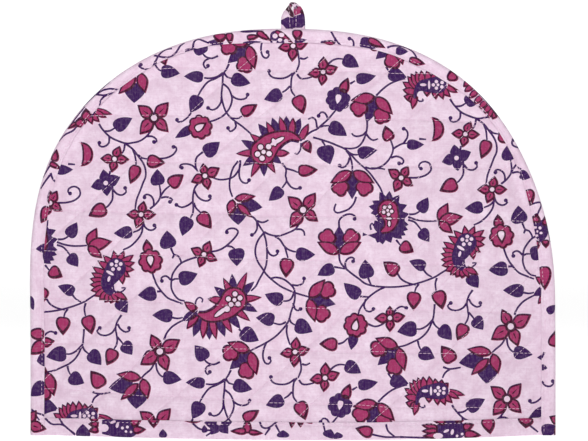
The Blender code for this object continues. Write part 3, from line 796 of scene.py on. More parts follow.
def triangulated(edge, shapes, grains):
    """Places, triangles and each triangle's ink, for the flat cloth inside its edge."""
    points, sides = [], []
    for outline in [edge] + [shape for *_, shape in shapes]:
        start, size = len(points), len(outline)
        points += [Vector(p) for p in outline / MM]
        sides += [(start + i, start + (i + 1) % size) for i in range(size)]
    near, clear = nearest(points), GRAIN_CLEAR / MM
    points += [Vector(p) for p in grains / MM if near.find((*p, 0))[2] > clear]
    places, _, faces, *_ = delaunay_2d_cdt(points, sides, [], 0, 1e-4, False)
    places = np.array([tuple(p) for p in places]) * MM
    faces = np.array(faces)
    middles = places[faces].mean(axis=1)
    kept = within(edge, middles)
    faces, middles = faces[kept], middles[kept]
    order = np.argsort(middles[:, 0])
    sorted_x = middles[order, 0]
    layers = np.zeros((2, len(faces)), bool)
    for layer, inked, shape in shapes:
        low, high = shape.min(axis=0), shape.max(axis=0)
        some = order[np.searchsorted(sorted_x, low[0]):np.searchsorted(sorted_x, high[0])]
        some = some[(middles[some, 1] > low[1]) & (middles[some, 1] < high[1])]
        layers[layer, some[within(shape, middles[some])]] = inked
    inks = layers[MAGENTA] * MAGENTA_INK + layers[PURPLE] * PURPLE_INK
    used, faces = np.unique(faces, return_inverse=True)
    faces = faces.reshape(-1, 3)
    return places[used], [tuple(int(i) for i in face) for face in faces], inks.tolist()


def nearest(flat):
    """Finds the nearest of these flat places."""
    tree = KDTree(len(flat))
    for i, place in enumerate(flat):
        tree.insert((*place, 0), i)
    tree.balance()
    return tree


def rim_loop(faces):
    """The places round the rim, in order."""
    after = {}
    sides = {(a, b) for face in faces for a, b in zip(face, face[1:] + face[:1])}
    for a, b in sides:
        if (b, a) not in sides:
            after[a] = b
    start = min(after)
    loop, here = [start], after[start]
    while here != start:
        loop.append(here)
        here = after[here]
    return loop


def linked(name, data):
    """A new object with this data, in the scene."""
    thing = bpy.data.objects.new(name, data)
    bpy.context.scene.collection.objects.link(thing)
    return thing


def cloth_piece(name, edge, shapes, grains, outer, inner, back_grains, materials, back_shapes=()):
    """One closed sheet of cloth: a printed outer face, an inner face and the rim between them.

    outer and inner turn flat places into 3-D ones. The second material is the inner face's."""
    flat, faces, inks = triangulated(edge, shapes, grains)
    rim = rim_loop(faces)
    back_flat, back_faces, back_inks = triangulated(flat[rim], list(back_shapes), back_grains)
    count = len(flat)
    points = np.concatenate([outer(flat), inner(back_flat)])
    normals = np.concatenate([facing(outer, flat), -facing(inner, back_flat)])
    back_loop = rim_loop(back_faces)
    near = nearest(flat[rim])
    matched = {j: rim[near.find((*back_flat[j], 0))[1]] for j in back_loop}
    shell, ink, slot = list(faces), list(inks), [0] * len(faces)
    for face, colour in zip(back_faces, back_inks):
        shell.append(tuple(count + i for i in reversed(face)))
        ink.append(colour)
        slot.append(1)
    for a, b in zip(back_loop, back_loop[1:] + back_loop[:1]):
        wall = (matched[b], matched[a], count + a, count + b)
        shell.append(tuple(dict.fromkeys(wall)))
        ink.append(GROUND_INK)
        slot.append(1)
    mesh = bpy.data.meshes.new(name)
    mesh.from_pydata([tuple(p) for p in points], [], shell)
    for material in materials:
        mesh.materials.append(material)
    mesh.polygons.foreach_set("material_index", slot)
    inks_there = mesh.attributes.new("ink", "FLOAT", "FACE")
    inks_there.data.foreach_set("value", ink)
    cloth = mesh.attributes.new("cloth", "FLOAT_VECTOR", "POINT")
    both = np.concatenate([flat, back_flat])
    cloth.data.foreach_set("vector", np.column_stack([both, np.zeros(len(both))]).ravel())
    mesh.shade_smooth()
    mesh.normals_split_custom_set_from_vertices([tuple(n) for n in normals])
    return linked(name, mesh)


def facing(place, flat, step=0.15 * MM):
    """Unit normals of a placed cloth, on the side that shows its flat x to the right and y up."""
    side = place(flat + (step, 0)) - place(flat - (step, 0))
    up = place(flat + (0, step)) - place(flat - (0, step))
    normal = np.cross(side, up)
    return normal / np.maximum(np.linalg.norm(normal, axis=1), 1e-12)[:, None]


# ---- the form of the cloth, as in the part's source, with its finer relief ----


def rise(value, low, high):
    share = np.clip((value - low) / (high - low), 0, 1)
    return share * share * (3 - 2 * share)


def lean(z):
    return -SHOULDER_LEAN * np.exp(-(((z - SHOULDER_HEIGHT) / SHOULDER_REACH) ** 2))


def tilt(x, z):
    return -TOP_TILT * x * rise(z, SIDE_RISE, HEIGHT)


def outline_of_arch():
    turn = np.linspace(0, math.pi, 1601)
    across = np.sign(np.cos(turn)) * np.abs(np.cos(turn)) ** (2 / ARCH_POWER)
    up = np.abs(np.sin(turn)) ** (2 / ARCH_POWER)
    climb = np.linspace(0, SIDE_RISE, 200, endpoint=False)
    x = np.concatenate([np.ones(200), across, -np.ones(200)]) * WIDTH / 2
    z = np.concatenate([climb, SIDE_RISE + up * (HEIGHT - SIDE_RISE), climb[::-1]])
    return np.column_stack([x + lean(z) - lean(0.0), z + tilt(x, z)])


def resampled(points, count):
    along = length_along(points)
    wanted = np.linspace(0, along[-1], count)
    return np.column_stack([np.interp(wanted, along, points[:, i]) for i in (0, 1)])


def length_along(points):
    return np.concatenate([[0], np.cumsum(np.hypot(*np.diff(points, axis=0).T))])


def inward(points):
    run = np.gradient(points, axis=0)
    run[0], run[-1] = (0, 1), (0, -1)
    run /= np.hypot(*run.T)[:, None]
    return sideways(run)


ARCH = resampled(outline_of_arch(), 500)  # from the right foot over the top to the left foot
ARCH_IN = inward(ARCH)
ARCH_ALONG = length_along(ARCH)


def inset(distance, step):
    line = ARCH + ARCH_IN * distance
    return resampled(line, int(round(length_along(line)[-1] / step)) + 1)


def seam_share(x, z):
    x = x - lean(z) + lean(0.0)
    z = z - tilt(x, z)
    across = np.abs(x) / (WIDTH / 2 - SEAM_FLAT)
    up = np.maximum(z - SIDE_RISE, 0) / (HEIGHT - SIDE_RISE - SEAM_FLAT)
    return (across**ARCH_POWER + up**ARCH_POWER) ** (1 / ARCH_POWER)


def beside_loop(x, z):
    across = 1 - rise(np.abs(x - LOOP_X), *LOOP_ROOM)
    return across * rise(z, *LOOP_DEPTH)


def middle(x, z, panel):
    """Distance of the cloth's middle layer from the seam plane."""
    open_share = np.maximum(1 - seam_share(x, z) ** 2, 0)
    dome = open_share**2 * (1 + DOME_SOFT) / (open_share + DOME_SOFT)
    out = panel["bulge"] * dome * (1 - TAPER * z / HEIGHT)
    out = out * (1 + panel["skew"] * x / (WIDTH / 2))
    for across, up, wide, high, depth in panel["dents"]:
        out = out + dome * depth * np.exp(-(((x - across) / wide) ** 2) - ((z - up) / high) ** 2)
    hem, loop = 1 - rise(z, HEM_CALM, HEM_FREE), beside_loop(x, z)
    return out + SEAM_MID + (HEM_MID - SEAM_MID) * hem + (LOOP_MID - SEAM_MID) * loop


def wander(i, along):
    """How far a sewn line strays from its straight place."""
    return WANDER * (np.sin(along / 0.0137 + 1.7 * i) + 0.6 * np.sin(along / 0.0059 + 2.9 * i))


def stitch_distance(x, z, stray=1.0):
    """Distances to the nearest level and slanting line, and how far along those lines."""
    level = np.array([z - height + fall * x - stray * wander(i, x)
                      for i, (height, fall) in enumerate(LEVEL_LINES)])
    across = x * math.sin(SLANT) - z * math.cos(SLANT)
    along = x * math.cos(SLANT) + z * math.sin(SLANT)
    slanting = np.array([across - place - stray * wander(i + 20, along)
                         for i, place in enumerate(SLANT_LINES)])
    return np.abs(level).min(axis=0), np.abs(slanting).min(axis=0), x, along


def half_thickness(x, z, stray=0.0):
    puff = 1.0
    for distance in stitch_distance(x, z, stray)[:2]:
        puff = puff * (1 - np.exp(-((distance / PUFF_SOFT) ** PUFF_POWER)))
    field = LINE_HALF + (PUFF_HALF - LINE_HALF) * puff
    inside = rise(1 - seam_share(x, z), 0.0, SEAM_EASE)
    half = SEAM_HALF + (field - SEAM_HALF) * inside
    hem, loop = 1 - rise(z, HEM_CALM, HEM_FREE), beside_loop(x, z)
    half = half + (LOOP_HALF - SEAM_HALF) * loop * (1 - inside)
    return half + (HEM_HALF - half) * hem


def value_noise(x, z, size, seed):
    """Smooth noise between -1 and 1, with lumps of this size."""
    table = np.random.default_rng(seed).uniform(-1, 1, (64, 64))
    u, v = np.asarray(x) / size + 31.4, np.asarray(z) / size + 27.3
    i, j = np.floor(u).astype(int), np.floor(v).astype(int)
    a, b = u - i, v - j
    a, b = a * a * (3 - 2 * a), b * b * (3 - 2 * b)

    def at(k, m):
        return table[(i + k) % 64, (j + m) % 64]

    low = at(0, 0) * (1 - a) + at(1, 0) * a
    high = at(0, 1) * (1 - a) + at(1, 1) * a
    return low * (1 - b) + high * b


def relief(x, z, panel):
    """Sewn grooves, the puckers beside them and soft creases, on top of the padding."""
    level, slanting, along_level, along_slanting = stitch_distance(x, z)
    made = 0.0
    for distance, along in ((level, along_level), (slanting, along_slanting)):
        made = made - GROOVE * np.exp(-((distance / GROOVE_HALF) ** 2))
        beat = np.sin(2 * math.pi * along / PUCKER_STEP + 2.2 * np.sin(along / 0.011))
        fade = np.exp(-((distance / PUCKER_REACH) ** 2))
        made = made + PUCKER * beat * fade * (1 - np.exp(-((distance / MM) ** 2)))
    for size, height in CREASES:
        made = made + height * value_noise(x, z, size, panel["seed"])
    slanted = value_noise(x + 0.6 * z, 0.35 * z - x * 0.2, 0.016, panel["seed"] + 1)
    made = made + 0.5 * CREASES[0][1] * slanted
    calm = rise(1 - seam_share(x, z), 0.004, 0.05) * rise(z, HEM_CALM - 0.001, HEM_FREE)
    return made * calm


def lifted(x, z, offset, panel):
    """3-D points at this offset from the cloth's middle layer, outwards; level near the hem."""
    here = middle(x, z, panel)
    e = 0.5 * MM
    slope_x = (middle(x + e, z, panel) - middle(x - e, z, panel)) / (2 * e)
    slope_z = (middle(x, z + e, panel) - middle(x, z - e, panel)) / (2 * e)
    slope_z = slope_z * rise(z, HEM_CALM, 3 * HEM_CALM)
    length = np.sqrt(1 + slope_x**2 + slope_z**2)
    out = here + offset / length
    return np.column_stack(
        [x - offset * slope_x / length, SEAM_Y + panel["side"] * out, z - offset * slope_z / length]
    )


def seen(points, panel):
    """Where 3-D points show on the chart: as seen from the camera, or its like behind."""
    side = panel["side"]
    near = VIEW_DISTANCE / (VIEW_DISTANCE - side * points[:, 1])
    return np.column_stack([
        -side * (VIEW_X + (points[:, 0] - VIEW_X) * near), VIEW_Z + (points[:, 2] - VIEW_Z) * near,
    ])


def charted(x, z, panel):
    return seen(lifted(x, z, half_thickness(x, z, 1.0), panel), panel)


def uncharted(flat, panel):
    """The panel's own (x, z) of the places that show here on the chart."""
    x, z = -panel["side"] * flat[:, 0], flat[:, 1].copy()
    for _ in range(5):
        off = flat - charted(x, z, panel)
        x, z = x - panel["side"] * off[:, 0], z + off[:, 1]
    return x, z


# ---- the pieces ----

# How finely the cloth is divided, and its finer relief.
GRAIN_CLEAR = 0.55 * MM
GRAIN_STEP = 2.5 * MM
GROOVE_ROWS = (0.0, 0.8 * MM, -0.8 * MM, 2.0 * MM, -2.0 * MM)
BACK_STEP = 5.5 * MM
RIM_STEP = 2.2 * MM
LINE_STEP, LINE_CLEAR = 1.6 * MM, 2.6 * MM  # along a sewn line, and to the even grain beside it
STRIP_GRAIN, STRIP_CLEAR = 1.7 * MM, 0.4 * MM  # along a strip, and to its edge
WANDER = 0.35 * MM
GROOVE, GROOVE_HALF = 0.45 * MM, 0.75 * MM
PUCKER, PUCKER_STEP, PUCKER_REACH = 0.16 * MM, 6.2 * MM, 3.6 * MM
CREASES = ((0.042, 0.7 * MM), (0.019, 0.22 * MM))
INNER_RELIEF = 0.4  # the inner face has this share of the relief


def staggered(low, high, step):
    rows = np.arange(low[1], high[1], step * math.sqrt(3) / 2)
    found = []
    for i, z in enumerate(rows):
        x = np.arange(low[0], high[0], step) + (i % 2) * step / 2
        found.append(np.column_stack([x, np.full(len(x), z)]))
    return np.concatenate(found)


def sewn_lines(step):
    """Every quilting line as (x, z) points this far apart, with unit vectors along it."""
    reach = np.arange(-WIDTH, WIDTH, step)
    found = []
    for i, (height, fall) in enumerate(LEVEL_LINES):
        found.append(np.column_stack([reach, height - fall * reach + wander(i, reach)]))
    run = np.array([math.cos(SLANT), math.sin(SLANT)])
    side = np.array([math.sin(SLANT), -math.cos(SLANT)])
    for i, place in enumerate(SLANT_LINES):
        found.append(np.outer(reach, run) + np.outer(place + wander(i + 20, reach), side))
    return found


def panel_edge(step):
    low = BAND_FOLD + GAP
    arch = inset(EDGE_INSET, step)
    arch = arch[arch[:, 1] > low + step / 2]
    bottom = np.linspace(-FOOT, FOOT, int(2 * FOOT / step) + 1)
    return np.concatenate([arch, np.column_stack([bottom, np.full(len(bottom), low)])])


def quilt_face(x, z, panel, inside=False, proud=0.0):
    """3-D points on a quilted panel's outer or inner face, or this far above it."""
    if inside:
        return lifted(x, z, -half_thickness(x, z) - INNER_RELIEF * relief(x, z, panel) - proud, panel)
    return lifted(x, z, half_thickness(x, z, 1.0) + relief(x, z, panel) + proud, panel)


def quilted_panel(name, panel, shapes, materials):
    edge = panel_edge(RIM_STEP)
    lines = []
    for line in sewn_lines(LINE_STEP):
        lines += [line + sideways(ahead(line)) * off for off in GROOVE_ROWS]
    lines = np.concatenate(lines)
    fill = staggered((-WIDTH / 2, 0), (WIDTH / 2, HEIGHT), GRAIN_STEP)
    far = np.min(stitch_distance(*fill.T)[:2], axis=0) > LINE_CLEAR
    grains = np.concatenate([lines, fill[far]])
    ring = inset(EDGE_INSET + 1.0 * MM, RIM_STEP)
    ring[:, 1] = np.maximum(ring[:, 1], BAND_FOLD + GAP + 1.0 * MM)
    grains = grains[within(ring, grains)]
    back_grains = staggered((-WIDTH / 2, 0), (WIDTH / 2, HEIGHT), BACK_STEP)
    back_grains = back_grains[within(inset(EDGE_INSET + 3 * MM, RIM_STEP), back_grains)]
    back_grains = back_grains[back_grains[:, 1] > 5 * MM]

    def outer(flat):
        return quilt_face(*uncharted(flat, panel), panel)

    def inner(flat):
        return quilt_face(*uncharted(flat, panel), panel, inside=True)

    return cloth_piece(
        name, turned_in(charted(*edge.T, panel)), shapes, charted(*grains.T, panel), outer, inner,
        charted(*back_grains.T, panel), materials,
    )


def turned_in(edge):
    """The same edge, running anticlockwise."""
    x, z = edge.T
    area = np.sum(x * np.roll(z, -1) - np.roll(x, -1) * z)
    return edge if area > 0 else edge[::-1]


# ---- strips: the binding, the hem bands and the loop ----


BINDING_DEPTH = 3.95 * MM  # from the seam's middle to the binding's face


def binding_table():
    """From the middle of the outer edge to the inner edge: depth share of 1, and way in."""
    turn = np.linspace(0, math.pi / 2, 24)
    round_edge = np.column_stack([np.sin(turn) ** 0.9, (1 - np.cos(turn) ** 0.95) * BINDING_ROUND])
    points = np.vstack([round_edge, [1.0, BINDING_WIDTH]])
    along = length_along(points * (BINDING_DEPTH, 1))
    return along, points[:, 0], points[:, 1]


EDGE_T, EDGE_DEPTH, EDGE_IN = binding_table()
BINDING_HALF = EDGE_T[-1]
TURN_AT = 0.3  # the share of the strip's inside that is its fold's floor
BINDING_BEND = EDGE_T[-2]
PLAIN_IN = SEAM_MID + SEAM_HALF + GAP
OVER_BAND = HEM_MID + HEM_HALF + GAP + BAND_CLOTH + GAP
STRIP_STITCH = 1.7 * MM  # from a strip's inner edge to its stitches
NARROWEST = 4.8 * MM  # the quilting runs on under the binding, to this far from the outer edge
FLAT_FROM = 2.0 * MM  # the strip's rounded edge ends here
NARROWER = (  # chart places on the outer edge, and how many mm narrower the binding is there
    (30, 420, 0.3), (31, 300, 0.4), (36, 230, 0.6), (46, 175, 1.2), (64, 133, 1.7), (96, 95, 2.0),
    (122, 76, 2.2), (160, 53, 2.9), (205, 37.5, 2.7), (240, 31.5, 1.2), (275, 29.5, 0.3),
    (300, 29.5, 0.4), (335, 33, 0.8),
    (366, 38, 1.6), (398, 44, 1.6), (432, 55, 0.8), (451, 67, 1.2), (473, 88, 2.8), (490, 105, 3.2),
    (503, 123, 3.6), (518, 151, 3.7), (537, 190, 2.2), (548, 230, 0.4), (556, 300, 0.2), (560, 420, 0.2),
)
JOIN_AT = ARCH_ALONG[-1] - 52 * MM  # where the binding's two strips meet, from its left foot


def on_arch(s):
    """The arch's place this far along it from its right foot, and its direction inwards."""
    return [np.interp(s, ARCH_ALONG, part) for part in (*ARCH.T, *ARCH_IN.T)]


def over_seam(z):
    """How far from the seam's middle the binding's inside lies: further where it covers a band."""
    return PLAIN_IN + (OVER_BAND - PLAIN_IN) * (1 - rise(z, HEM_CALM, HEM_FREE))


# A folded strip's relief: depths and heights, then how far each reaches.
STRIP_GROOVE, STRIP_PUFF, STRIP_PUCKER = 0.38 * MM, 0.30 * MM, 0.14 * MM
STRIP_LUMPS, STRIP_LIP = 0.22 * MM, 0.45 * MM
GROOVE_REACH, STRIP_STEP, STRIP_REACH, LIP_REACH = 0.7 * MM, 5.3 * MM, 3.2 * MM, 0.7 * MM
PUFF_RISES, PUFF_FALLS = (STRIP_STITCH, 4.5 * MM), (6 * MM, 9 * MM)
EDGE_WAVER, EDGE_BACK = 0.28 * MM, 0.1 * MM
JOIN_STEP, JOIN_GROOVE, JOIN_HALF, JOIN_FADE = 0.16 * MM, 0.3 * MM, 0.45 * MM, 5 * MM


def strip_relief(along, from_edge, seed):
    """Puff, sewn groove and puckers of a folded strip; from_edge is the way in from its edge."""
    off = from_edge - STRIP_STITCH
    groove = -STRIP_GROOVE * np.exp(-((off / GROOVE_REACH) ** 2))
    puff = STRIP_PUFF * rise(from_edge, *PUFF_RISES) * (1 - rise(from_edge, *PUFF_FALLS))
    beat = np.sin(2 * math.pi * along / STRIP_STEP + 2.4 * np.sin(along / 0.012 + seed))
    pucker = STRIP_PUCKER * beat * np.exp(-((off / STRIP_REACH) ** 2))
    lumps = STRIP_LUMPS * value_noise(along, from_edge, 0.009, seed)
    lip = -STRIP_LIP * (1 - rise(from_edge, 0, LIP_REACH))
    return groove + puff + pucker + lumps + lip


def edge_stray(along, seed):
    """How far a strip's stitched edge lies past its usual width."""
    return EDGE_WAVER * value_noise(along, 0 * along, 0.014, seed) - EDGE_BACK


def binding_stray(s):
    """How far the binding's inner edge lies further in than its usual width; mostly less."""
    return edge_stray(s, 5) - np.interp(s, NARROW_AT, NARROW_BY) * MM


def strayed(way, s):
    """Ways in from the outer edge, the strip's flat part stretched or squeezed to its strayed edge."""
    return way + binding_stray(s) * np.clip((way - FLAT_FROM) / (BINDING_WIDTH - FLAT_FROM), 0, 1)


def join_relief(s, t):
    """The small step where one strip of the binding is sewn to the next, on the slant."""
    off = s - JOIN_AT - 0.35 * np.abs(t)
    step = JOIN_STEP * (1 - rise(off, -0.3 * MM, 0.3 * MM)) * rise(off, -JOIN_FADE, 0)
    return step - JOIN_GROOVE * np.exp(-((off / JOIN_HALF) ** 2))


def binding_outer(flat):
    s, t = flat.T
    x, z, nx, nz = on_arch(s)
    t = np.clip(t, -BINDING_HALF, BINDING_HALF)
    depth = np.interp(np.abs(t), EDGE_T, EDGE_DEPTH)
    way = strayed(np.interp(np.abs(t), EDGE_T, EDGE_IN), s)
    finer = strip_relief(s, BINDING_WIDTH + binding_stray(s) - way, 7) + join_relief(s, t)
    out = depth * (over_seam(z) + BINDING_CLOTH) + finer * depth
    return np.column_stack([x + nx * way, SEAM_Y - np.sign(t) * out, np.maximum(z + nz * way, 0)])


def binding_inner(flat):
    s, t = flat.T
    x, z, nx, nz = on_arch(s)
    share = np.abs(t) / BINDING_HALF
    y = over_seam(z) * np.minimum(share / TURN_AT, 1) * np.sign(t)
    flat_share = np.clip((share - TURN_AT) / (1 - TURN_AT), 0, 1)
    way = strayed(BINDING_WALL + (BINDING_WIDTH - BINDING_WALL) * flat_share, s)
    return np.column_stack([x + nx * way, SEAM_Y - y, np.maximum(z + nz * way, 0)])


def box_edge(low, high, step_x, step_y):
    """A rectangle's outline with points about these steps apart, anticlockwise."""
    nx = max(1, int(round((high[0] - low[0]) / step_x)))
    ny = max(1, int(round((high[1] - low[1]) / step_y)))
    xs, ys = np.linspace(low[0], high[0], nx + 1), np.linspace(low[1], high[1], ny + 1)
    return np.concatenate([
        np.column_stack([xs[:-1], np.full(nx, low[1])]), np.column_stack([np.full(ny, high[0]), ys[:-1]]),
        np.column_stack([xs[:0:-1], np.full(nx, high[1])]), np.column_stack([np.full(ny, low[0]), ys[:0:-1]]),
    ])


def grid(low, high, step_x, ys):
    xs = np.arange(low + step_x, high, step_x)
    return np.concatenate([np.column_stack([xs + (i % 2) * step_x / 2, np.full(len(xs), y)])
                           for i, y in enumerate(ys)])


def along_binding(flat):
    """Chart places as the way along the binding and the way in from its outer edge."""
    away = np.hypot(flat[:, None, 0] - ARCH[None, :, 0], flat[:, None, 1] - ARCH[None, :, 1])
    near = away.argmin(axis=1)
    off = flat - ARCH[near]
    s = ARCH_ALONG[near] + (off * ahead(ARCH)[near]).sum(axis=1)
    return s, (off * ARCH_IN[near]).sum(axis=1)


NARROWER = np.array(NARROWER)[::-1]  # the way along the binding starts at its right foot
NARROW_AT = along_binding(on_cloth(NARROWER[:, :2]))[0]
NARROW_BY = NARROWER[:, 2]


def to_binding(flat):
    """Chart places as (s, t) on the binding's front."""
    s, way = along_binding(flat)
    share = binding_stray(s) / (BINDING_WIDTH - FLAT_FROM)
    way = np.where(way > FLAT_FROM, (way + share * FLAT_FROM) / (1 + share), way)
    return np.column_stack([s, way + BINDING_BEND - BINDING_ROUND])


def strip_print(motifs, place):
    """Chart motifs laid on a strip by this change of place."""
    return [(layer, inked, place(on_cloth(shape))) for motif in motifs for layer, inked, shape in motif]


def mirrored_print(shapes, length):
    """The same shapes on the far side of a strip."""
    return [(layer, inked, shape * (-1, -1) + (length, 0)) for layer, inked, shape in shapes]


# Rows of places across each strip, from the middle of its fold, in mm.
BINDING_ROWS = (0, 1.2, 2.4, 3.6, 4.6, 5.6, 7.0, 8.4, 9.6, 10.4, 11.0, 11.6)
BAND_ROWS = (0, 1.5, 2.1, 2.7, 4.2, 5.8, 7.4, 9.0, 10.3, 11.3, 12.1)


def both_sides(rows):
    rows = np.array(rows) * MM
    return np.concatenate([-rows[:0:-1], rows])


def arch_binding(materials):
    length = ARCH_ALONG[-1]
    edge = box_edge((0, -BINDING_HALF), (length, BINDING_HALF), RIM_STEP, 2 * MM)
    rows = both_sides(BINDING_ROWS)
    rows = rows[np.abs(rows) < BINDING_HALF - STRIP_CLEAR]
    grains = grid(0.5 * MM, length - 0.5 * MM, STRIP_GRAIN, rows)
    back = grid(3 * MM, length - 3 * MM, 7 * MM, [-0.3 * BINDING_HALF, 0.0, 0.3 * BINDING_HALF])
    front = strip_print(binding_motifs(), to_binding)
    shapes = front + mirrored_print(front, length)
    return cloth_piece(
        "arch_binding_cloth", edge, shapes, grains, binding_outer, binding_inner, back, materials,
    )


BAND_OUT = HEM_HALF + GAP + BAND_CLOTH
BAND_IN = HEM_HALF + GAP
BAND_SOFT = 0.55 * MM
BAND_BEND = BAND_OUT - BAND_SOFT + BAND_SOFT * math.pi / 2  # way round the bottom, to its corner
BAND_LOW = -(BAND_BEND + BAND_INSIDE - BAND_SOFT)  # the band's edge inside, and the one outside
BAND_HIGH = BAND_BEND + BAND_OUTSIDE - BAND_SOFT


def band_section(t, top, inner):
    """Offset and height on a band's section, this far round from the middle of its fold."""
    t_abs = np.abs(t)
    if inner:
        share = t_abs / (BAND_BEND + top - BAND_SOFT)
        offset = BAND_IN * np.minimum(share / 0.15, 1)
        height = BAND_FOLD + (top - BAND_FOLD) * np.clip((share - 0.15) / 0.85, 0, 1)
        return offset * np.sign(t), height
    turn = np.clip((t_abs - (BAND_OUT - BAND_SOFT)) / BAND_SOFT, 0, math.pi / 2)
    offset = np.minimum(t_abs, BAND_OUT - BAND_SOFT) + BAND_SOFT * np.sin(turn)
    height = BAND_SOFT * (1 - np.cos(turn)) + np.maximum(t_abs - BAND_BEND, 0)
    return offset * np.sign(t), height


def band_place(panel, inner):
    side = panel["side"]

    def place(flat):
        x, t = -side * flat[:, 0], flat[:, 1]
        top = np.where(t > 0, BAND_OUTSIDE, BAND_INSIDE)
        stray = edge_stray(x, 9 + side)
        if inner:
            offset, height = band_section(t, top, True)
            height = height + stray * rise(height, 5 * MM, top)
            return lifted(x, np.clip(height, 0, HEM_CALM), offset, panel)
        offset, height = band_section(t, top, False)
        bump = strip_relief(x, top - height, 15 + side) * rise(height, 0.6 * MM, 2.5 * MM)
        height = height + stray * rise(height, 5 * MM, top)
        return lifted(x, np.clip(height, 0, HEM_CALM), offset + np.sign(t) * bump, panel)

    return place


def to_band(panel):
    """Turns chart places into (across, round) on a band's outside."""
    def place(flat):
        x, z = -panel["side"] * flat[:, 0], flat[:, 1].copy()
        for _ in range(4):
            off = flat - seen(lifted(x, np.clip(z, 0, HEM_CALM), BAND_OUT, panel)
                              + np.outer(z - np.clip(z, 0, HEM_CALM), (0, 0, 1)), panel)
            x, z = x - panel["side"] * off[:, 0], z + off[:, 1]
        return np.column_stack([-panel["side"] * x, z + BAND_BEND - BAND_SOFT])
    return place


def hem_band(name, panel, motifs, materials):
    low, high = BAND_LOW, BAND_HIGH
    edge = box_edge((-FOOT, low), (FOOT, high), RIM_STEP, 1.6 * MM)
    rows = both_sides(BAND_ROWS)
    rows = rows[(rows > low + STRIP_CLEAR) & (rows < high - STRIP_CLEAR)]
    grains = grid(-FOOT + 0.5 * MM, FOOT - 0.5 * MM, STRIP_GRAIN, rows)
    back = grid(-FOOT + 2 * MM, FOOT - 2 * MM, 6 * MM, [low * 0.15, 0.0, high * 0.15])
    outside = strip_print(motifs, to_band(panel))
    inside = [(layer, inked, shape * (1, -1) + (0.031, 0)) for layer, inked, shape in outside]
    return cloth_piece(
        name, edge, outside + inside, grains, band_place(panel, False), band_place(panel, True), back,
        materials,
    )


def loop_route():
    rows = np.array(LOOP_ROUTE, float)
    fine = np.linspace(0, len(rows) - 1, 81)
    up, x, y, turn = (np.interp(fine, range(len(rows)), rows[:, i]) for i in range(4))
    top = (LOOP_TOP - LOOP_CLOTH / 2 - HEIGHT) / MM / rows[:, 0].max()
    route = np.column_stack([x, y, np.where(up > 0, up * top, up), turn])
    for _ in range(8):
        route[1:-1] = (route[:-2] + 2 * route[1:-1] + route[2:]) / 4
    return route * (MM, MM, MM, math.pi / 180) + (LOOP_X, SEAM_Y, HEIGHT, 0)


ROUTE = loop_route()
ROUTE_ALONG = np.concatenate([[0], np.cumsum(np.linalg.norm(np.diff(ROUTE[:, :3], axis=0), axis=1))])


# How much wider the strip's inner half is than its solid's, at the feet and on each leg.
LOOP_FEET, LOOP_BROAD, LOOP_NEAR = 1.10, 1.25, 1.75


def on_route(s):
    """The middle of the loop's strip this far along it, and the strip's turn there."""
    *place, turn = [np.interp(s, ROUTE_ALONG, part) for part in ROUTE.T]
    return np.column_stack(place), turn


def loop_place(side):
    """Places (across, along) on the loop's strip; side is 1 for its outer face at the feet, -1 behind."""
    def place(flat):
        t, s = flat.T
        s = np.clip(s, 0, ROUTE_ALONG[-1])
        centre, turn = on_route(s)
        e = 0.4 * MM
        run = on_route(np.minimum(s + e, ROUTE_ALONG[-1]))[0] - on_route(np.maximum(s - e, 0))[0]
        run /= np.linalg.norm(run, axis=1)[:, None]
        across = np.column_stack([np.cos(turn), -np.sin(turn), 0 * turn])
        across -= run * (across * run).sum(axis=1)[:, None]
        across /= np.linalg.norm(across, axis=1)[:, None]
        face = np.cross(run, across)
        share = np.clip(np.abs(t) / (LOOP_STRIP / 2), 0, 1)
        thick = 0.2 * MM + (LOOP_CLOTH / 2 - 0.2 * MM) * (1 - share**4) ** 0.5
        from_edge = (1 - share) * LOOP_STRIP / 2
        thick = thick - 0.3 * MM * np.exp(-(((from_edge - 1.1 * MM) / (0.5 * MM)) ** 2))
        thick = thick + 0.12 * MM * value_noise(s, t, 0.005, 41 + side)
        from_end = np.minimum(s, ROUTE_ALONG[-1] - s)
        broad = np.where(s < ROUTE_ALONG[-1] / 2, LOOP_NEAR, LOOP_BROAD)
        spread = LOOP_FEET + (broad - LOOP_FEET) * rise(from_end, 12 * MM, 19 * MM)
        wide = t * np.where(t > 0, spread, 1 - 0.02 * (1 + value_noise(s, 0 * s, 0.006, 44)))
        return centre + across * wide[:, None] - face * (side * thick)[:, None]
    return place


def hanging_loop(materials):
    half, length = LOOP_STRIP / 2, ROUTE_ALONG[-1]
    edge = box_edge((-half, 0), (half, length), 0.9 * MM, 0.9 * MM)
    grains = staggered((-half + 0.4 * MM, 0.4 * MM), (half - 0.4 * MM, length - 0.4 * MM), 0.8 * MM)
    front, back = loop_print_and_shade(length)
    return cloth_piece(
        "hanging_loop_cloth", edge, front, grains, loop_place(1), loop_place(-1), grains, materials, back,
    )


def patch(layer, *numbers):
    """An inked patch on a strip, its corners as (across, along) in mm."""
    return (layer, True, pairs(numbers) * MM)


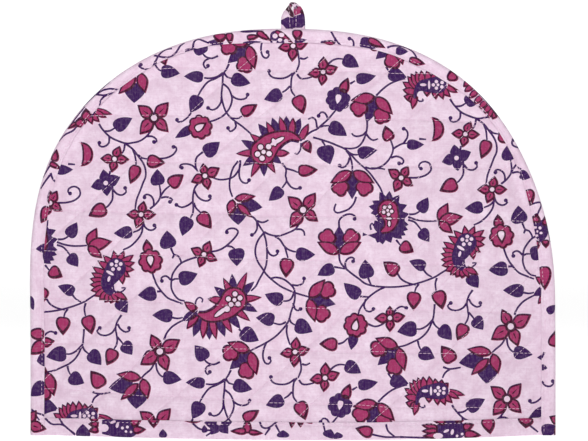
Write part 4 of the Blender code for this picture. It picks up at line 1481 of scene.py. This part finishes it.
def loop_print_and_shade(length):
    """Patches of print on the strip's two faces; on the front, painted shade darkens the print inside the top
    of the loop and lies as a dark strip along the far leg's outer edge. The far leg is given from its own
    end.
    """
    end = length / MM
    front = [
        patch(PURPLE, -5, 13.2, -2, 14, 1, 15.4, 5, 14.6, 5, 7, -0.3, 7.8, -2, 10, -5, 12.4),
        # This patch and the next put both inks over each other for the darkest colour: purple print darkened
        # further as painted shade, where the top of the loop shows its shadowed inside.
        patch(PURPLE, 5, 14.6, 2.2, 15.6, 1.2, 18.6, -5, 21, -5, 26.5, 5, 26.5),
        patch(MAGENTA, 5, 14.6, 2.2, 15.6, 1.2, 18.6, -5, 21, -5, 26.5, 5, 26.5),
        patch(PURPLE, -5, end - 16, -1, end - 17, 5, end - 16, 5, end - 8.4, -1.6, end - 8.6, -3, end - 10,
              -4, end - 10.5),
        # A thin dark strip along the far leg's outer edge: a painted shadow line.
        patch(PURPLE, -5, end - 7, -3.4, end - 7, -3.3, end - 26, -5, end - 26),
        patch(MAGENTA, -5, end - 15.5, -5, end - 21, 1, end - 22, 3.4, end - 21, 3.6, end - 16.5,
              -1, end - 17.5),
        patch(PURPLE, -5, end - 15.5, -0.8, end - 16.8, -0.6, end - 19, -5, end - 20),
        patch(PURPLE, 0.4, end - 22.6, 3, end - 22, 3, end - 20.6, 0.6, end - 21),
    ]
    back = [
        patch(PURPLE, -5, 14, 5, 10, 5, 18, -5, 22), patch(MAGENTA, -5, 22, 5, 18, 5, 25, -5, 27),
        patch(PURPLE, -5, end - 24, 5, end - 26, 5, end - 14, -5, end - 12),
        patch(MAGENTA, -5, end - 33, 5, end - 31, 5, end - 26, -5, end - 24),
    ]
    return front, back


# The binding's own stretch of the print, in chart units from its left foot to its right one.
BINDING_STEMS = (
    (31, 409, 37, 412.5, 44, 415, 50, 420), (31, 411, 36, 415, 40, 420),
    (50, 166, 46, 172, 42, 177.5), (50.5, 175, 46, 181, 40.5, 189), (51, 173, 53, 179, 57, 184, 56, 190),
    (48.5, 221, 48.5, 227, 49.5, 233), (58, 141, 65, 135, 73, 131, 77.5, 126),
    (69, 128, 74, 120.5, 79, 114, 85, 106.5), (96, 95, 102, 91, 110, 89, 118, 90, 125, 91),
    (96, 94.5, 104, 95.5, 112, 93.5, 121, 91), (110, 94, 104, 97, 100.5, 102, 100, 109),
    (154, 55.5, 158, 56.5, 164, 57.5, 170, 57, 175, 54, 178, 50, 180.5, 46, 184.5, 43),
    (155, 61, 157, 65, 161, 67.5), (193, 49, 193.5, 44, 195.5, 40.5, 199, 39.5, 203, 41, 209, 43.5),
    (202, 49.5, 208, 47.3, 216, 45), (331, 31.5, 334, 37.5, 338, 43, 341.5, 46.5),
    (335, 38, 335, 42, 332.5, 45.5), (387, 48, 391, 46.5, 397, 46, 403, 46.5, 409, 49, 413, 52.5, 416.5, 58),
    (511, 175, 515, 175.5, 520, 176), (512.5, 175, 514.5, 170, 517, 167.5, 521, 169.5),
    (528, 205.5, 535, 203, 540.5, 202.5, 541, 206, 538, 212, 536.5, 217),
    (546, 221, 549, 230, 550.8, 242), (540, 288, 539.8, 299, 540, 309.5), (544, 352, 541.5, 358),
    (494, 106, 498, 112, 500.5, 118),
)
BINDING_TENDRILS = (
    (172, 48.5, 166, 49.5, 161, 53, 157.5, 58, 155, 63, 152, 68, 147, 69.5, 142, 68.5, 139, 66, 141, 65),
    (353.3, 47.5, 353.5, 43, 352, 40, 349.3, 39), (520, 147, 515.5, 147, 512, 145, 511.7, 141.5, 513.3, 140),
    (541.5, 381, 545, 385.5, 550, 386, 553.3, 383, 552.3, 381),
)
BINDING_PURPLE = (  # base x, y, tip x, y, width
    (48, 248, 36, 249, 9), (46, 251, 46, 265, 6), (28, 297, 34, 310, 9), (46, 359, 37, 361, 13),
    (46, 384, 29, 396, 14), (185, 51, 207, 51, 5), (223, 44, 208, 42, 8), (240, 31, 264, 31, 4),
    (243, 44, 262, 42, 4), (270, 38, 290, 39, 14), (295, 42, 307, 40, 5), (321, 43, 333, 42, 4),
    (360, 42, 380, 47, 12), (396, 51, 408, 52, 8), (519, 174, 530, 178, 10), (540, 220, 541, 243, 19),
    (534, 264, 536, 250, 6), (547, 312, 558, 305, 8), (541, 367, 547, 368, 6), (541, 431, 560, 427, 12),
)
BINDING_MAGENTA = (  # base x, y, tip x, y, width
    (54, 161, 57, 149, 8), (50, 163, 62, 169, 6), (53, 204, 50, 190, 9), (54, 203, 60, 193, 7),
    (49, 207, 41, 223, 11), (51, 208, 62, 214, 7), (44, 334, 26, 333, 12), (45, 343, 28, 354, 13),
    (87, 120, 86, 108, 11), (80, 127, 82, 116, 11), (76, 123, 67, 129, 5), (101, 110, 110, 104, 5),
    (101, 112, 111, 111, 5), (101, 116, 111, 117, 5), (95, 119, 93, 128, 6), (90, 120, 87, 128, 6),
    (220, 33, 219, 44, 13), (229, 33, 230, 45, 8), (247, 38, 260, 36, 6), (257, 32, 271, 41, 7),
    (275, 31, 293, 43, 6), (297, 30, 297, 42, 10), (334, 44, 316, 46, 8), (368, 39, 385, 48, 8),
    (409, 60, 425, 64, 8), (452, 81, 452, 68, 11), (526, 190, 531, 205, 13), (535, 222, 536, 213, 9),
    (545, 225, 546, 215, 8), (536, 241, 536, 250, 7), (545, 240, 545, 248, 8), (544, 266, 544, 290, 13),
    (552, 346, 556, 330, 11),
)
BINDING_SPIKES = (  # base x, y, tip x, y, width
    (470.5, 80.5, 462.5, 87, 7.5), (472.5, 85.5, 463.5, 92, 6.5), (476.5, 91, 468, 98.5, 6.5),
    (481, 97, 473, 104, 6.5), (485.5, 102, 478, 109.5, 6.5), (489.5, 106.5, 483, 114, 6.5),
    (493, 109.5, 487, 118.5, 6.5), (496, 112, 491.5, 119.5, 6.5),
)
BINDING_WHITE = (  # middle x, y, width and height of half of it, turn
    (95, 111.3, 1.5, 1.1, 0), (98.7, 112.8, 1.1, 1.5, 0), (95.3, 115.5, 1.3, 1.2, 0),
    (268, 32.3, 3.6, 1.9, -10), (275, 36.3, 2.6, 2.5, 0), (281.5, 35.3, 2.8, 2.2, 0),
    (280, 40.3, 2.2, 1.8, 0), (286, 41.2, 2.1, 2, 0), (274.5, 42.2, 2.3, 1.1, 0),
    (534.5, 227.5, 1.5, 1.3, 0), (539.6, 228, 1.6, 1.6, 0), (533.4, 232.3, 1.3, 1.4, 0),
    (537, 231.5, 1, 1.3, 0), (540.6, 233, 1.6, 1.3, 0), (536, 235.7, 1.5, 1.3, 0),
)


CORNER_FLOWER = (27, 423, 36, 409, 46, 430, 22, 438, 15, 415)  # over the binding's foot and the band
SHOULDER_BODY = (472, 80, 4, 484, 92, 5, 493, 103, 5, 499, 115, 4)  # x, y, radius, under the spikes

# The front band's own stretch, in the same units.
BAND_STEMS = (
    (45, 418, 52, 424, 63, 425, 75, 435), (57, 413, 60, 420, 66, 427, 75, 434),
    (192, 423, 200, 429, 212, 431, 206, 436), (259, 420, 262, 427, 268, 428, 274, 424, 280, 419),
    (270, 428, 265, 435), (275, 424, 280, 433), (282, 418.5, 296, 418.5, 311, 419),
    (332, 420, 327, 418, 323, 420, 325, 432), (370, 434, 385, 437, 400, 437),
    (386, 424, 388, 431, 395, 437), (529, 425, 538, 432), (400, 437, 430, 438),
)
BAND_BODIES = (  # x, y, radius
    (128, 427, 11, 114, 427, 10, 102, 427, 7), (452, 430, 13, 440, 432, 8, 428, 436, 3),
)
BAND_PURPLE = (
    (163, 437, 163, 429, 8), (205, 432, 204, 425, 6), (283, 437, 283, 430, 12),
    (328, 437, 331, 429, 12), (338, 438, 337, 432, 10), (83, 438, 83, 424, 14),
)
BAND_MAGENTA = (
    (131, 424, 142, 417, 9), (133, 430, 146, 429, 8), (97, 420, 88, 418, 7), (98, 424, 88, 424, 7),
    (98, 429, 88, 431, 7), (153, 414, 153.5, 428, 12), (200, 418, 182, 420, 8), (247, 433, 247, 418, 9),
    (246, 431, 230, 431, 7), (249, 432, 263, 433, 6), (292, 418, 291, 428, 6), (300, 418, 300, 427, 7),
    (306, 418, 312, 423, 6), (372, 433, 355, 428, 12), (437, 428, 421, 425, 7), (437, 431, 421, 431, 7),
    (439, 435, 422, 436, 7), (463, 428, 474, 424, 8), (464, 434, 481, 435, 9), (487, 418, 490, 434, 13),
    (526, 417, 525, 428, 15), (445, 422, 432, 420, 7), (455, 420, 466, 418, 7),
)
BACK_BAND_MOVES = (-58, 455)
BAND_FLOWER = (219, 423, 204, 424, 234, 420, 229, 433, 210, 434)
BAND_WHITE = (
    (104, 428, 5, 4, 0), (113, 422, 3, 1.4, -25), (117.5, 425, 1.6, 3, 10), (122.5, 428, 1.5, 1.5, 0),
    (127.5, 427, 1.5, 1.5, 0), (126, 431.5, 1.3, 1.3, 0), (131, 432, 1.3, 1.3, 0), (438, 436, 5, 3, 0),
    (446, 431, 3, 1.4, -25), (452, 432, 1.6, 3, 10), (457, 436, 1.4, 1.4, 0), (462, 434, 1.4, 1.4, 0),
)


def binding_motifs():
    made = [stem(row) for row in BINDING_STEMS] + [stem(row, dot=True) for row in BINDING_TENDRILS]
    made += [spike(np.array(row[:2]), np.array(row[2:4]), row[4], True) for row in BINDING_SPIKES]
    made.append([(PURPLE, True, teardrop(SHOULDER_BODY))])
    made += leaves(BINDING_PURPLE, purple_leaf) + leaves(BINDING_MAGENTA, magenta_leaf)
    made.append(cross_flower(CORNER_FLOWER))
    made += [white(oval(*row)) for row in BINDING_WHITE]
    return made


def front_band_motifs():
    made = [stem(row) for row in BAND_STEMS]
    made += [[(PURPLE, True, teardrop(row))] for row in BAND_BODIES]
    made += leaves(BAND_PURPLE, purple_leaf) + leaves(BAND_MAGENTA, magenta_leaf)
    made += [cross_flower(BAND_FLOWER, magenta=False), cross_flower(CORNER_FLOWER)]
    return made + [white(oval(*row)) for row in BAND_WHITE]


def back_band_motifs():
    """On the back band, which the photo doesn't show: the same motifs, further along."""
    return [
        [(layer, inked, shape + (move, 0)) for layer, inked, shape in motif]
        for motif in front_band_motifs() for move in BACK_BAND_MOVES
    ]


# ---- thread ----


def thread_piece(name, stitches, radius, material):
    """Sewn stitches: each a short rounded thread through its row of points."""
    points, faces = [], []
    sides = 5
    for row in stitches:
        row = np.asarray(row)
        run = np.gradient(row, axis=0)
        run /= np.linalg.norm(run, axis=1)[:, None]
        first = np.cross(run, (0.31, 0.9, 0.3))
        first /= np.linalg.norm(first, axis=1)[:, None]
        second = np.cross(run, first)
        widths = radius * np.concatenate([[0.45], np.ones(len(row) - 2), [0.45]])
        start = len(points)
        for k in range(sides):
            angle = 2 * math.pi * k / sides
            around = first * math.cos(angle) + second * math.sin(angle)
            points += list(row + around * widths[:, None])
        size = len(row)
        for k in range(sides):
            m = (k + 1) % sides
            here, there = start + k * size, start + m * size
            faces += [(here + i, there + i, there + i + 1, here + i + 1) for i in range(size - 1)]
        faces.append(tuple(start + k * size for k in reversed(range(sides))))
        faces.append(tuple(start + k * size + size - 1 for k in range(sides)))
    mesh = bpy.data.meshes.new(name)
    mesh.from_pydata([tuple(p) for p in points], [], faces)
    mesh.materials.append(material)
    mesh.shade_smooth()
    return linked(name, mesh)


def stitch_rows(place, length, start=0.0):
    """Splits the way from start to length into stitches; place turns ways along into 3-D points."""
    found = []
    while start + STITCH < length:
        found.append(place(np.linspace(start, start + STITCH - STITCH_GAP, 4)))
        start += STITCH
    return found


STITCH, STITCH_GAP = 2.7 * MM, 0.24 * MM
THREAD = 0.17 * MM
# How far a stitch's four points stand above the cloth; its ends dip in.
QUILT_RISE = np.array([-0.08, 0.12, 0.12, -0.08]) * MM
STRIP_RISE = np.array([-0.2, 0.12, 0.12, -0.2]) * MM


def panel_stitches(panel, inside=False):
    found = []
    ring = inset(NARROWEST, RIM_STEP)
    ring[:, 1] = np.maximum(ring[:, 1], BAND_OUTSIDE - 0.2 * MM)
    for line in sewn_lines(0.9 * MM):
        shown = within(ring, line)
        if shown.sum() < 6:
            continue
        line = line[shown]
        along = length_along(line)

        def place(ways):
            x = np.interp(ways, along, line[:, 0])
            z = np.interp(ways, along, line[:, 1])
            return quilt_face(x, z, panel, inside, QUILT_RISE)

        found += stitch_rows(place, along[-1])
    return found


def strip_stitches(place, way, low, high):
    """Stitches along a strip at this place across it, where place turns flat places into 3-D."""
    def put(ways):
        flat = np.column_stack([ways, np.full(len(ways), way)])
        out = facing(place, flat) * STRIP_RISE[:, None]
        return place(flat) + out
    return stitch_rows(put, high, low)


# ---- materials ----


def srgb(r, g, b):
    """A colour given as 0 to 255 on screen, as Blender wants it."""
    def one(v):
        v = v / 255
        return v / 12.92 if v <= 0.04045 else ((v + 0.055) / 1.055) ** 2.4
    return one(r), one(g), one(b), 1.0


GROUND = srgb(234, 206, 226)
GROUND_DEEP = srgb(222, 188, 212)
GROUND_PALE = srgb(242, 222, 238)
MAGENTA_COLOUR = srgb(164, 48, 100)
PURPLE_COLOUR = srgb(58, 20, 86)
DOUBLE_COLOUR = srgb(64, 4, 40)
LINING = srgb(238, 222, 234)
THREAD_COLOUR = srgb(236, 208, 226)


class Nodes:
    """Short ways to add and join the nodes of one material."""

    def __init__(self, name):
        self.material = bpy.data.materials.new(name)
        self.material.use_nodes = True
        self.tree = self.material.node_tree
        self.shader = self.tree.nodes["Principled BSDF"]

    def add(self, kind, inputs=(), **settings):
        node = self.tree.nodes.new("ShaderNode" + kind)
        for key, value in settings.items():
            setattr(node, key, value)
        for key, value in dict(inputs).items():
            if isinstance(value, bpy.types.NodeSocket):
                self.tree.links.new(value, node.inputs[key])
            else:
                node.inputs[key].default_value = value
        return node

    def math(self, operation, a, b=0.0):
        return self.add("Math", {0: a, 1: b}, operation=operation).outputs[0]

    def mix(self, share, a, b, blend="MIX"):
        node = self.add("Mix", {0: share, 6: a, 7: b}, data_type="RGBA", blend_type=blend)
        return node.outputs[2]

    def stretched(self, place, across, along):
        return self.add("VectorMath", {0: place, 1: (across, along, 1.0)}, operation="MULTIPLY").outputs[0]

    def noise(self, place, scale, detail=2.0, roughness=0.5):
        sockets = {"Vector": place, "Scale": scale, "Detail": detail, "Roughness": roughness}
        return self.add("TexNoise", sockets).outputs[0]

    def spread(self, value, low, high, to_low=0.0, to_high=1.0):
        return self.add(
            "MapRange", {0: value, 1: low, 2: high, 3: to_low, 4: to_high}, clamp=True
        ).outputs[0]

    def to_shader(self, **sockets):
        for key, value in sockets.items():
            name = key.replace("_", " ")
            if isinstance(value, bpy.types.NodeSocket):
                self.tree.links.new(value, self.shader.inputs[name])
            else:
                self.shader.inputs[name].default_value = value
        return self.material


YARN = 0.46 * MM  # from one yarn to the next
WEAVE_DEPTH = 0.12 * MM
SLUB_LONG, SLUB_FINE = 90.0, 1900.0  # a slub's noise along its yarn and across it


def woven(nodes, place):
    """Height of a plain weave with slubs, and the slubs themselves across and along."""
    split = nodes.add("SeparateXYZ", {0: place})
    x, y = split.outputs[0], split.outputs[1]
    waver = nodes.math("MULTIPLY", nodes.noise(place, 160.0), 5.0)
    weft, warp = [
        nodes.math("SINE", nodes.math("ADD", nodes.math("MULTIPLY", way, 2 * math.pi / YARN), waver))
        for way in (y, x)
    ]
    over = nodes.math("MAXIMUM", weft, warp)
    slub_x = nodes.spread(nodes.noise(nodes.stretched(place, SLUB_LONG, SLUB_FINE), 1.0, 2.0), 0.42, 0.74)
    slub_y = nodes.spread(nodes.noise(nodes.stretched(place, SLUB_FINE, SLUB_LONG), 1.0, 2.0), 0.44, 0.76)
    slubs = nodes.math("MAXIMUM", slub_x, slub_y)
    height = nodes.math("ADD", nodes.math("MULTIPLY", over, 0.35), nodes.math("MULTIPLY", slubs, 0.9))
    return height, slub_x, slub_y


def printed_cotton():
    nodes = Nodes("printed_cotton")
    place = nodes.add("Attribute", attribute_name="cloth").outputs["Vector"]
    ink = nodes.add("Attribute", attribute_name="ink").outputs["Fac"]
    height, slub_x, slub_y = woven(nodes, place)
    patches = nodes.noise(place, 120.0, 3.0, 0.6)
    fine = nodes.noise(place, 520.0, 2.0, 0.6)
    ground = nodes.mix(nodes.spread(patches, 0.38, 0.66), GROUND, GROUND_PALE)
    ground = nodes.mix(nodes.spread(fine, 0.46, 0.72, 0.0, 0.6), ground, GROUND_DEEP)
    ground = nodes.mix(nodes.math("MULTIPLY", slub_x, 0.45), ground, GROUND_DEEP)
    ground = nodes.mix(nodes.math("MULTIPLY", slub_y, 0.35), ground, GROUND_PALE)
    magenta = nodes.math("GREATER_THAN", nodes.math("MODULO", ink, 2.0), 0.5)
    purple = nodes.math("GREATER_THAN", ink, 1.5)
    inked = nodes.mix(magenta, ground, MAGENTA_COLOUR)
    dark = nodes.mix(magenta, PURPLE_COLOUR, DOUBLE_COLOUR)
    printed = nodes.mix(purple, inked, dark)
    thin = nodes.math("MULTIPLY", nodes.spread(fine, 0.50, 0.75), 0.09)
    worn = nodes.mix(nodes.math("ADD", thin, nodes.math("MULTIPLY", slub_y, 0.05)), printed, ground)
    shade = nodes.spread(patches, 0.3, 0.7, 0.95, 1.03)
    grey = nodes.add("CombineColor", {0: shade, 1: shade, 2: shade}).outputs[0]
    shaded = nodes.mix(1.0, worn, grey, "MULTIPLY")
    bump = nodes.add("Bump", {"Strength": 0.55, "Distance": WEAVE_DEPTH, "Height": height})
    return nodes.to_shader(
        Base_Color=shaded, Roughness=nodes.spread(height, -0.4, 1.2, 0.92, 0.78), Normal=bump.outputs[0],
        Sheen_Weight=0.06, Sheen_Roughness=0.5, Specular_IOR_Level=0.15,
    )


def lining_cotton():
    nodes = Nodes("lining_cotton")
    place = nodes.add("Attribute", attribute_name="cloth").outputs["Vector"]
    height, slub_x, _ = woven(nodes, place)
    patches = nodes.noise(place, 90.0, 3.0, 0.6)
    colour = nodes.mix(nodes.spread(patches, 0.35, 0.7), LINING, GROUND_PALE)
    colour = nodes.mix(nodes.math("MULTIPLY", slub_x, 0.35), colour, GROUND_DEEP)
    bump = nodes.add("Bump", {"Strength": 0.5, "Distance": WEAVE_DEPTH, "Height": height})
    return nodes.to_shader(
        Base_Color=colour, Roughness=0.9, Normal=bump.outputs[0], Sheen_Weight=0.1,
        Sheen_Roughness=0.5, Specular_IOR_Level=0.2,
    )


def thread_material():
    nodes = Nodes("sewing_thread")
    place = nodes.add("TexCoord").outputs["Object"]
    twist = nodes.noise(place, 2600.0, 1.0)
    colour = nodes.mix(nodes.spread(twist, 0.35, 0.65), THREAD_COLOUR, srgb(226, 190, 215))
    bump = nodes.add("Bump", {"Strength": 0.4, "Distance": 0.05 * MM, "Height": twist})
    return nodes.to_shader(
        Base_Color=colour, Roughness=0.6, Normal=bump.outputs[0], Sheen_Weight=0.1, Specular_IOR_Level=0.3,
    )


# ---- the room ----

LIT = (0, 0, 0.12)  # what the lights point at
LIGHTS = (  # name, place, size, watts
    ("key", (-0.03, -0.78, 0.88), (0.45, 0.35), 5.1),
    ("fill", (0.3, -1.3, 0.45), (0.8, 0.7), 1.2),
    ("top", (0.0, 0.3, 1.7), (1.6, 1.2), 2.8),
    ("back", (0.0, 1.3, 1.2), (1.6, 0.8), 4.4),
)
WORLD_LIGHT = 0.14
ROOM_REACH, ROOM_HIGH, ROOM_COVE, ROOM_SIDES = 6.0, 0.9, 0.4, 96  # metres, and sides of the wall
COVE_STEPS = 12


def round_backdrop():
    """A pale round floor that curves up into a pale wall, beyond every camera."""
    section = [(0.001, 0.0), (ROOM_REACH - ROOM_COVE, 0.0)]
    for k in range(1, COVE_STEPS + 1):
        turn = k / COVE_STEPS * math.pi / 2
        section.append((ROOM_REACH - ROOM_COVE * (1 - math.sin(turn)), ROOM_COVE * (1 - math.cos(turn))))
    section.append((ROOM_REACH, ROOM_HIGH))
    rounds = [2 * math.pi * k / ROOM_SIDES for k in range(ROOM_SIDES)]
    points = [(reach * math.cos(turn), reach * math.sin(turn), z) for turn in rounds for reach, z in section]
    size, total = len(section), len(points)
    faces = [
        (at + i, at + i + 1, (at + size + i + 1) % total, (at + size + i) % total)
        for at in range(0, total, size) for i in range(size - 1)
    ]
    mesh = bpy.data.meshes.new("backdrop")
    mesh.from_pydata(points, [], faces)
    mesh.shade_smooth()
    nodes = Nodes("paper_backdrop")
    place = nodes.add("TexCoord").outputs["Object"]
    mottle = nodes.mix(nodes.noise(place, 30.0), srgb(148, 148, 149), srgb(154, 154, 154))
    mesh.materials.append(nodes.to_shader(
        Base_Color=mottle, Roughness=0.95, Emission_Color=(1, 1, 1, 1), Emission_Strength=0.9,
    ))
    linked("backdrop", mesh)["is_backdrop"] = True


def soft_light(name, place, size, power):
    lamp = bpy.data.lights.new(name, "AREA")
    lamp.shape = "RECTANGLE"
    lamp.size, lamp.size_y = size
    lamp.energy = power
    thing = linked(name, lamp)
    thing.location = place
    thing.rotation_euler = (Vector(LIT) - Vector(place)).to_track_quat("-Z", "Y").to_euler()


def light_and_view():
    scene = bpy.context.scene
    camera = bpy.data.cameras.new("camera")
    camera.sensor_width = SENSOR
    camera.lens = SENSOR * VIEW_DISTANCE / VIEW_WIDE
    thing = linked("camera", camera)
    thing.location = (VIEW_X, -VIEW_DISTANCE, VIEW_Z)
    thing.rotation_euler = (math.pi / 2, 0, 0)
    scene.camera = thing
    scene.view_settings.view_transform = "Standard"
    round_backdrop()
    for row in LIGHTS:
        soft_light(*row)
    world = bpy.data.worlds.new("world")
    world.use_nodes = True
    world.node_tree.nodes["Background"].inputs[0].default_value = (1.0, 1.0, 1.0, 1.0)
    world.node_tree.nodes["Background"].inputs[1].default_value = WORLD_LIGHT
    scene.world = world


# ---- everything together ----


def carried(piece):
    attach(piece, "root")


def declare(piece, node):
    carried(piece)
    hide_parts(node)


def sewn(name, rows, thread):
    """The thread of these stitches, as a piece."""
    sewing = thread_piece(name, rows, THREAD, thread)
    carried(sewing)
    return sewing


def both_edges(place, low, high, start, end):
    """Rows of stitches just inside a strip's two edges."""
    rows = strip_stitches(place, high - STRIP_STITCH, start, end)
    return rows + strip_stitches(place, low + STRIP_STITCH, start, end)


def loop_face(flat):
    """The loop's outer face, with its length across."""
    return loop_place(1)(flat[:, ::-1] * (-1, 1))


def main():
    light_and_view()
    printed, lining, thread = printed_cotton(), lining_cotton(), thread_material()
    panels = []
    for name, panel, shift in (("front", FRONT, (0, 0)), ("back", BACK, BACK_SHIFT)):
        edge = turned_in(charted(*panel_edge(RIM_STEP).T, panel))
        cloth = quilted_panel(name + "_panel_cloth", panel, all_over(edge, shift), [printed, lining])
        rows = panel_stitches(panel) + panel_stitches(panel, True)
        sewing = sewn(name + "_quilting", rows, thread)
        declare(cloth, name + "_panel")
        panels.append(cloth.name)
    for name, panel, motifs, panel_name in (
        ("front", FRONT, front_band_motifs(), panels[0]), ("back", BACK, back_band_motifs(), panels[1]),
    ):
        band = hem_band(name + "_hem_band_cloth", panel, motifs, [printed, printed])
        rows = both_edges(band_place(panel, False), BAND_LOW, BAND_HIGH, -FOOT + 8 * MM, FOOT - 8 * MM)
        sewing = sewn(name + "_hem_stitches", rows, thread)
        declare(band, name + "_hem_band")
    binding = arch_binding([printed, printed])
    length = ARCH_ALONG[-1]
    rows = both_edges(binding_outer, -BINDING_HALF, BINDING_HALF, 2 * MM, length - 2 * MM)
    sewing = sewn("binding_stitches", rows, thread)
    loop = hanging_loop([printed, printed])
    carried(loop)
    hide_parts("hanging_loop")
    rows = strip_stitches(loop_face, STRIP_STITCH - LOOP_STRIP / 2, 6 * MM, ROUTE_ALONG[-1] - 6 * MM)
    loop_sewing = sewn("loop_stitches", rows, thread)
    declare(binding, "arch_binding")


main()
boxes = {"cad": cad_box, "visual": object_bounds()}
{key: [list(corner) for corner in box] for key, box in boxes.items()}
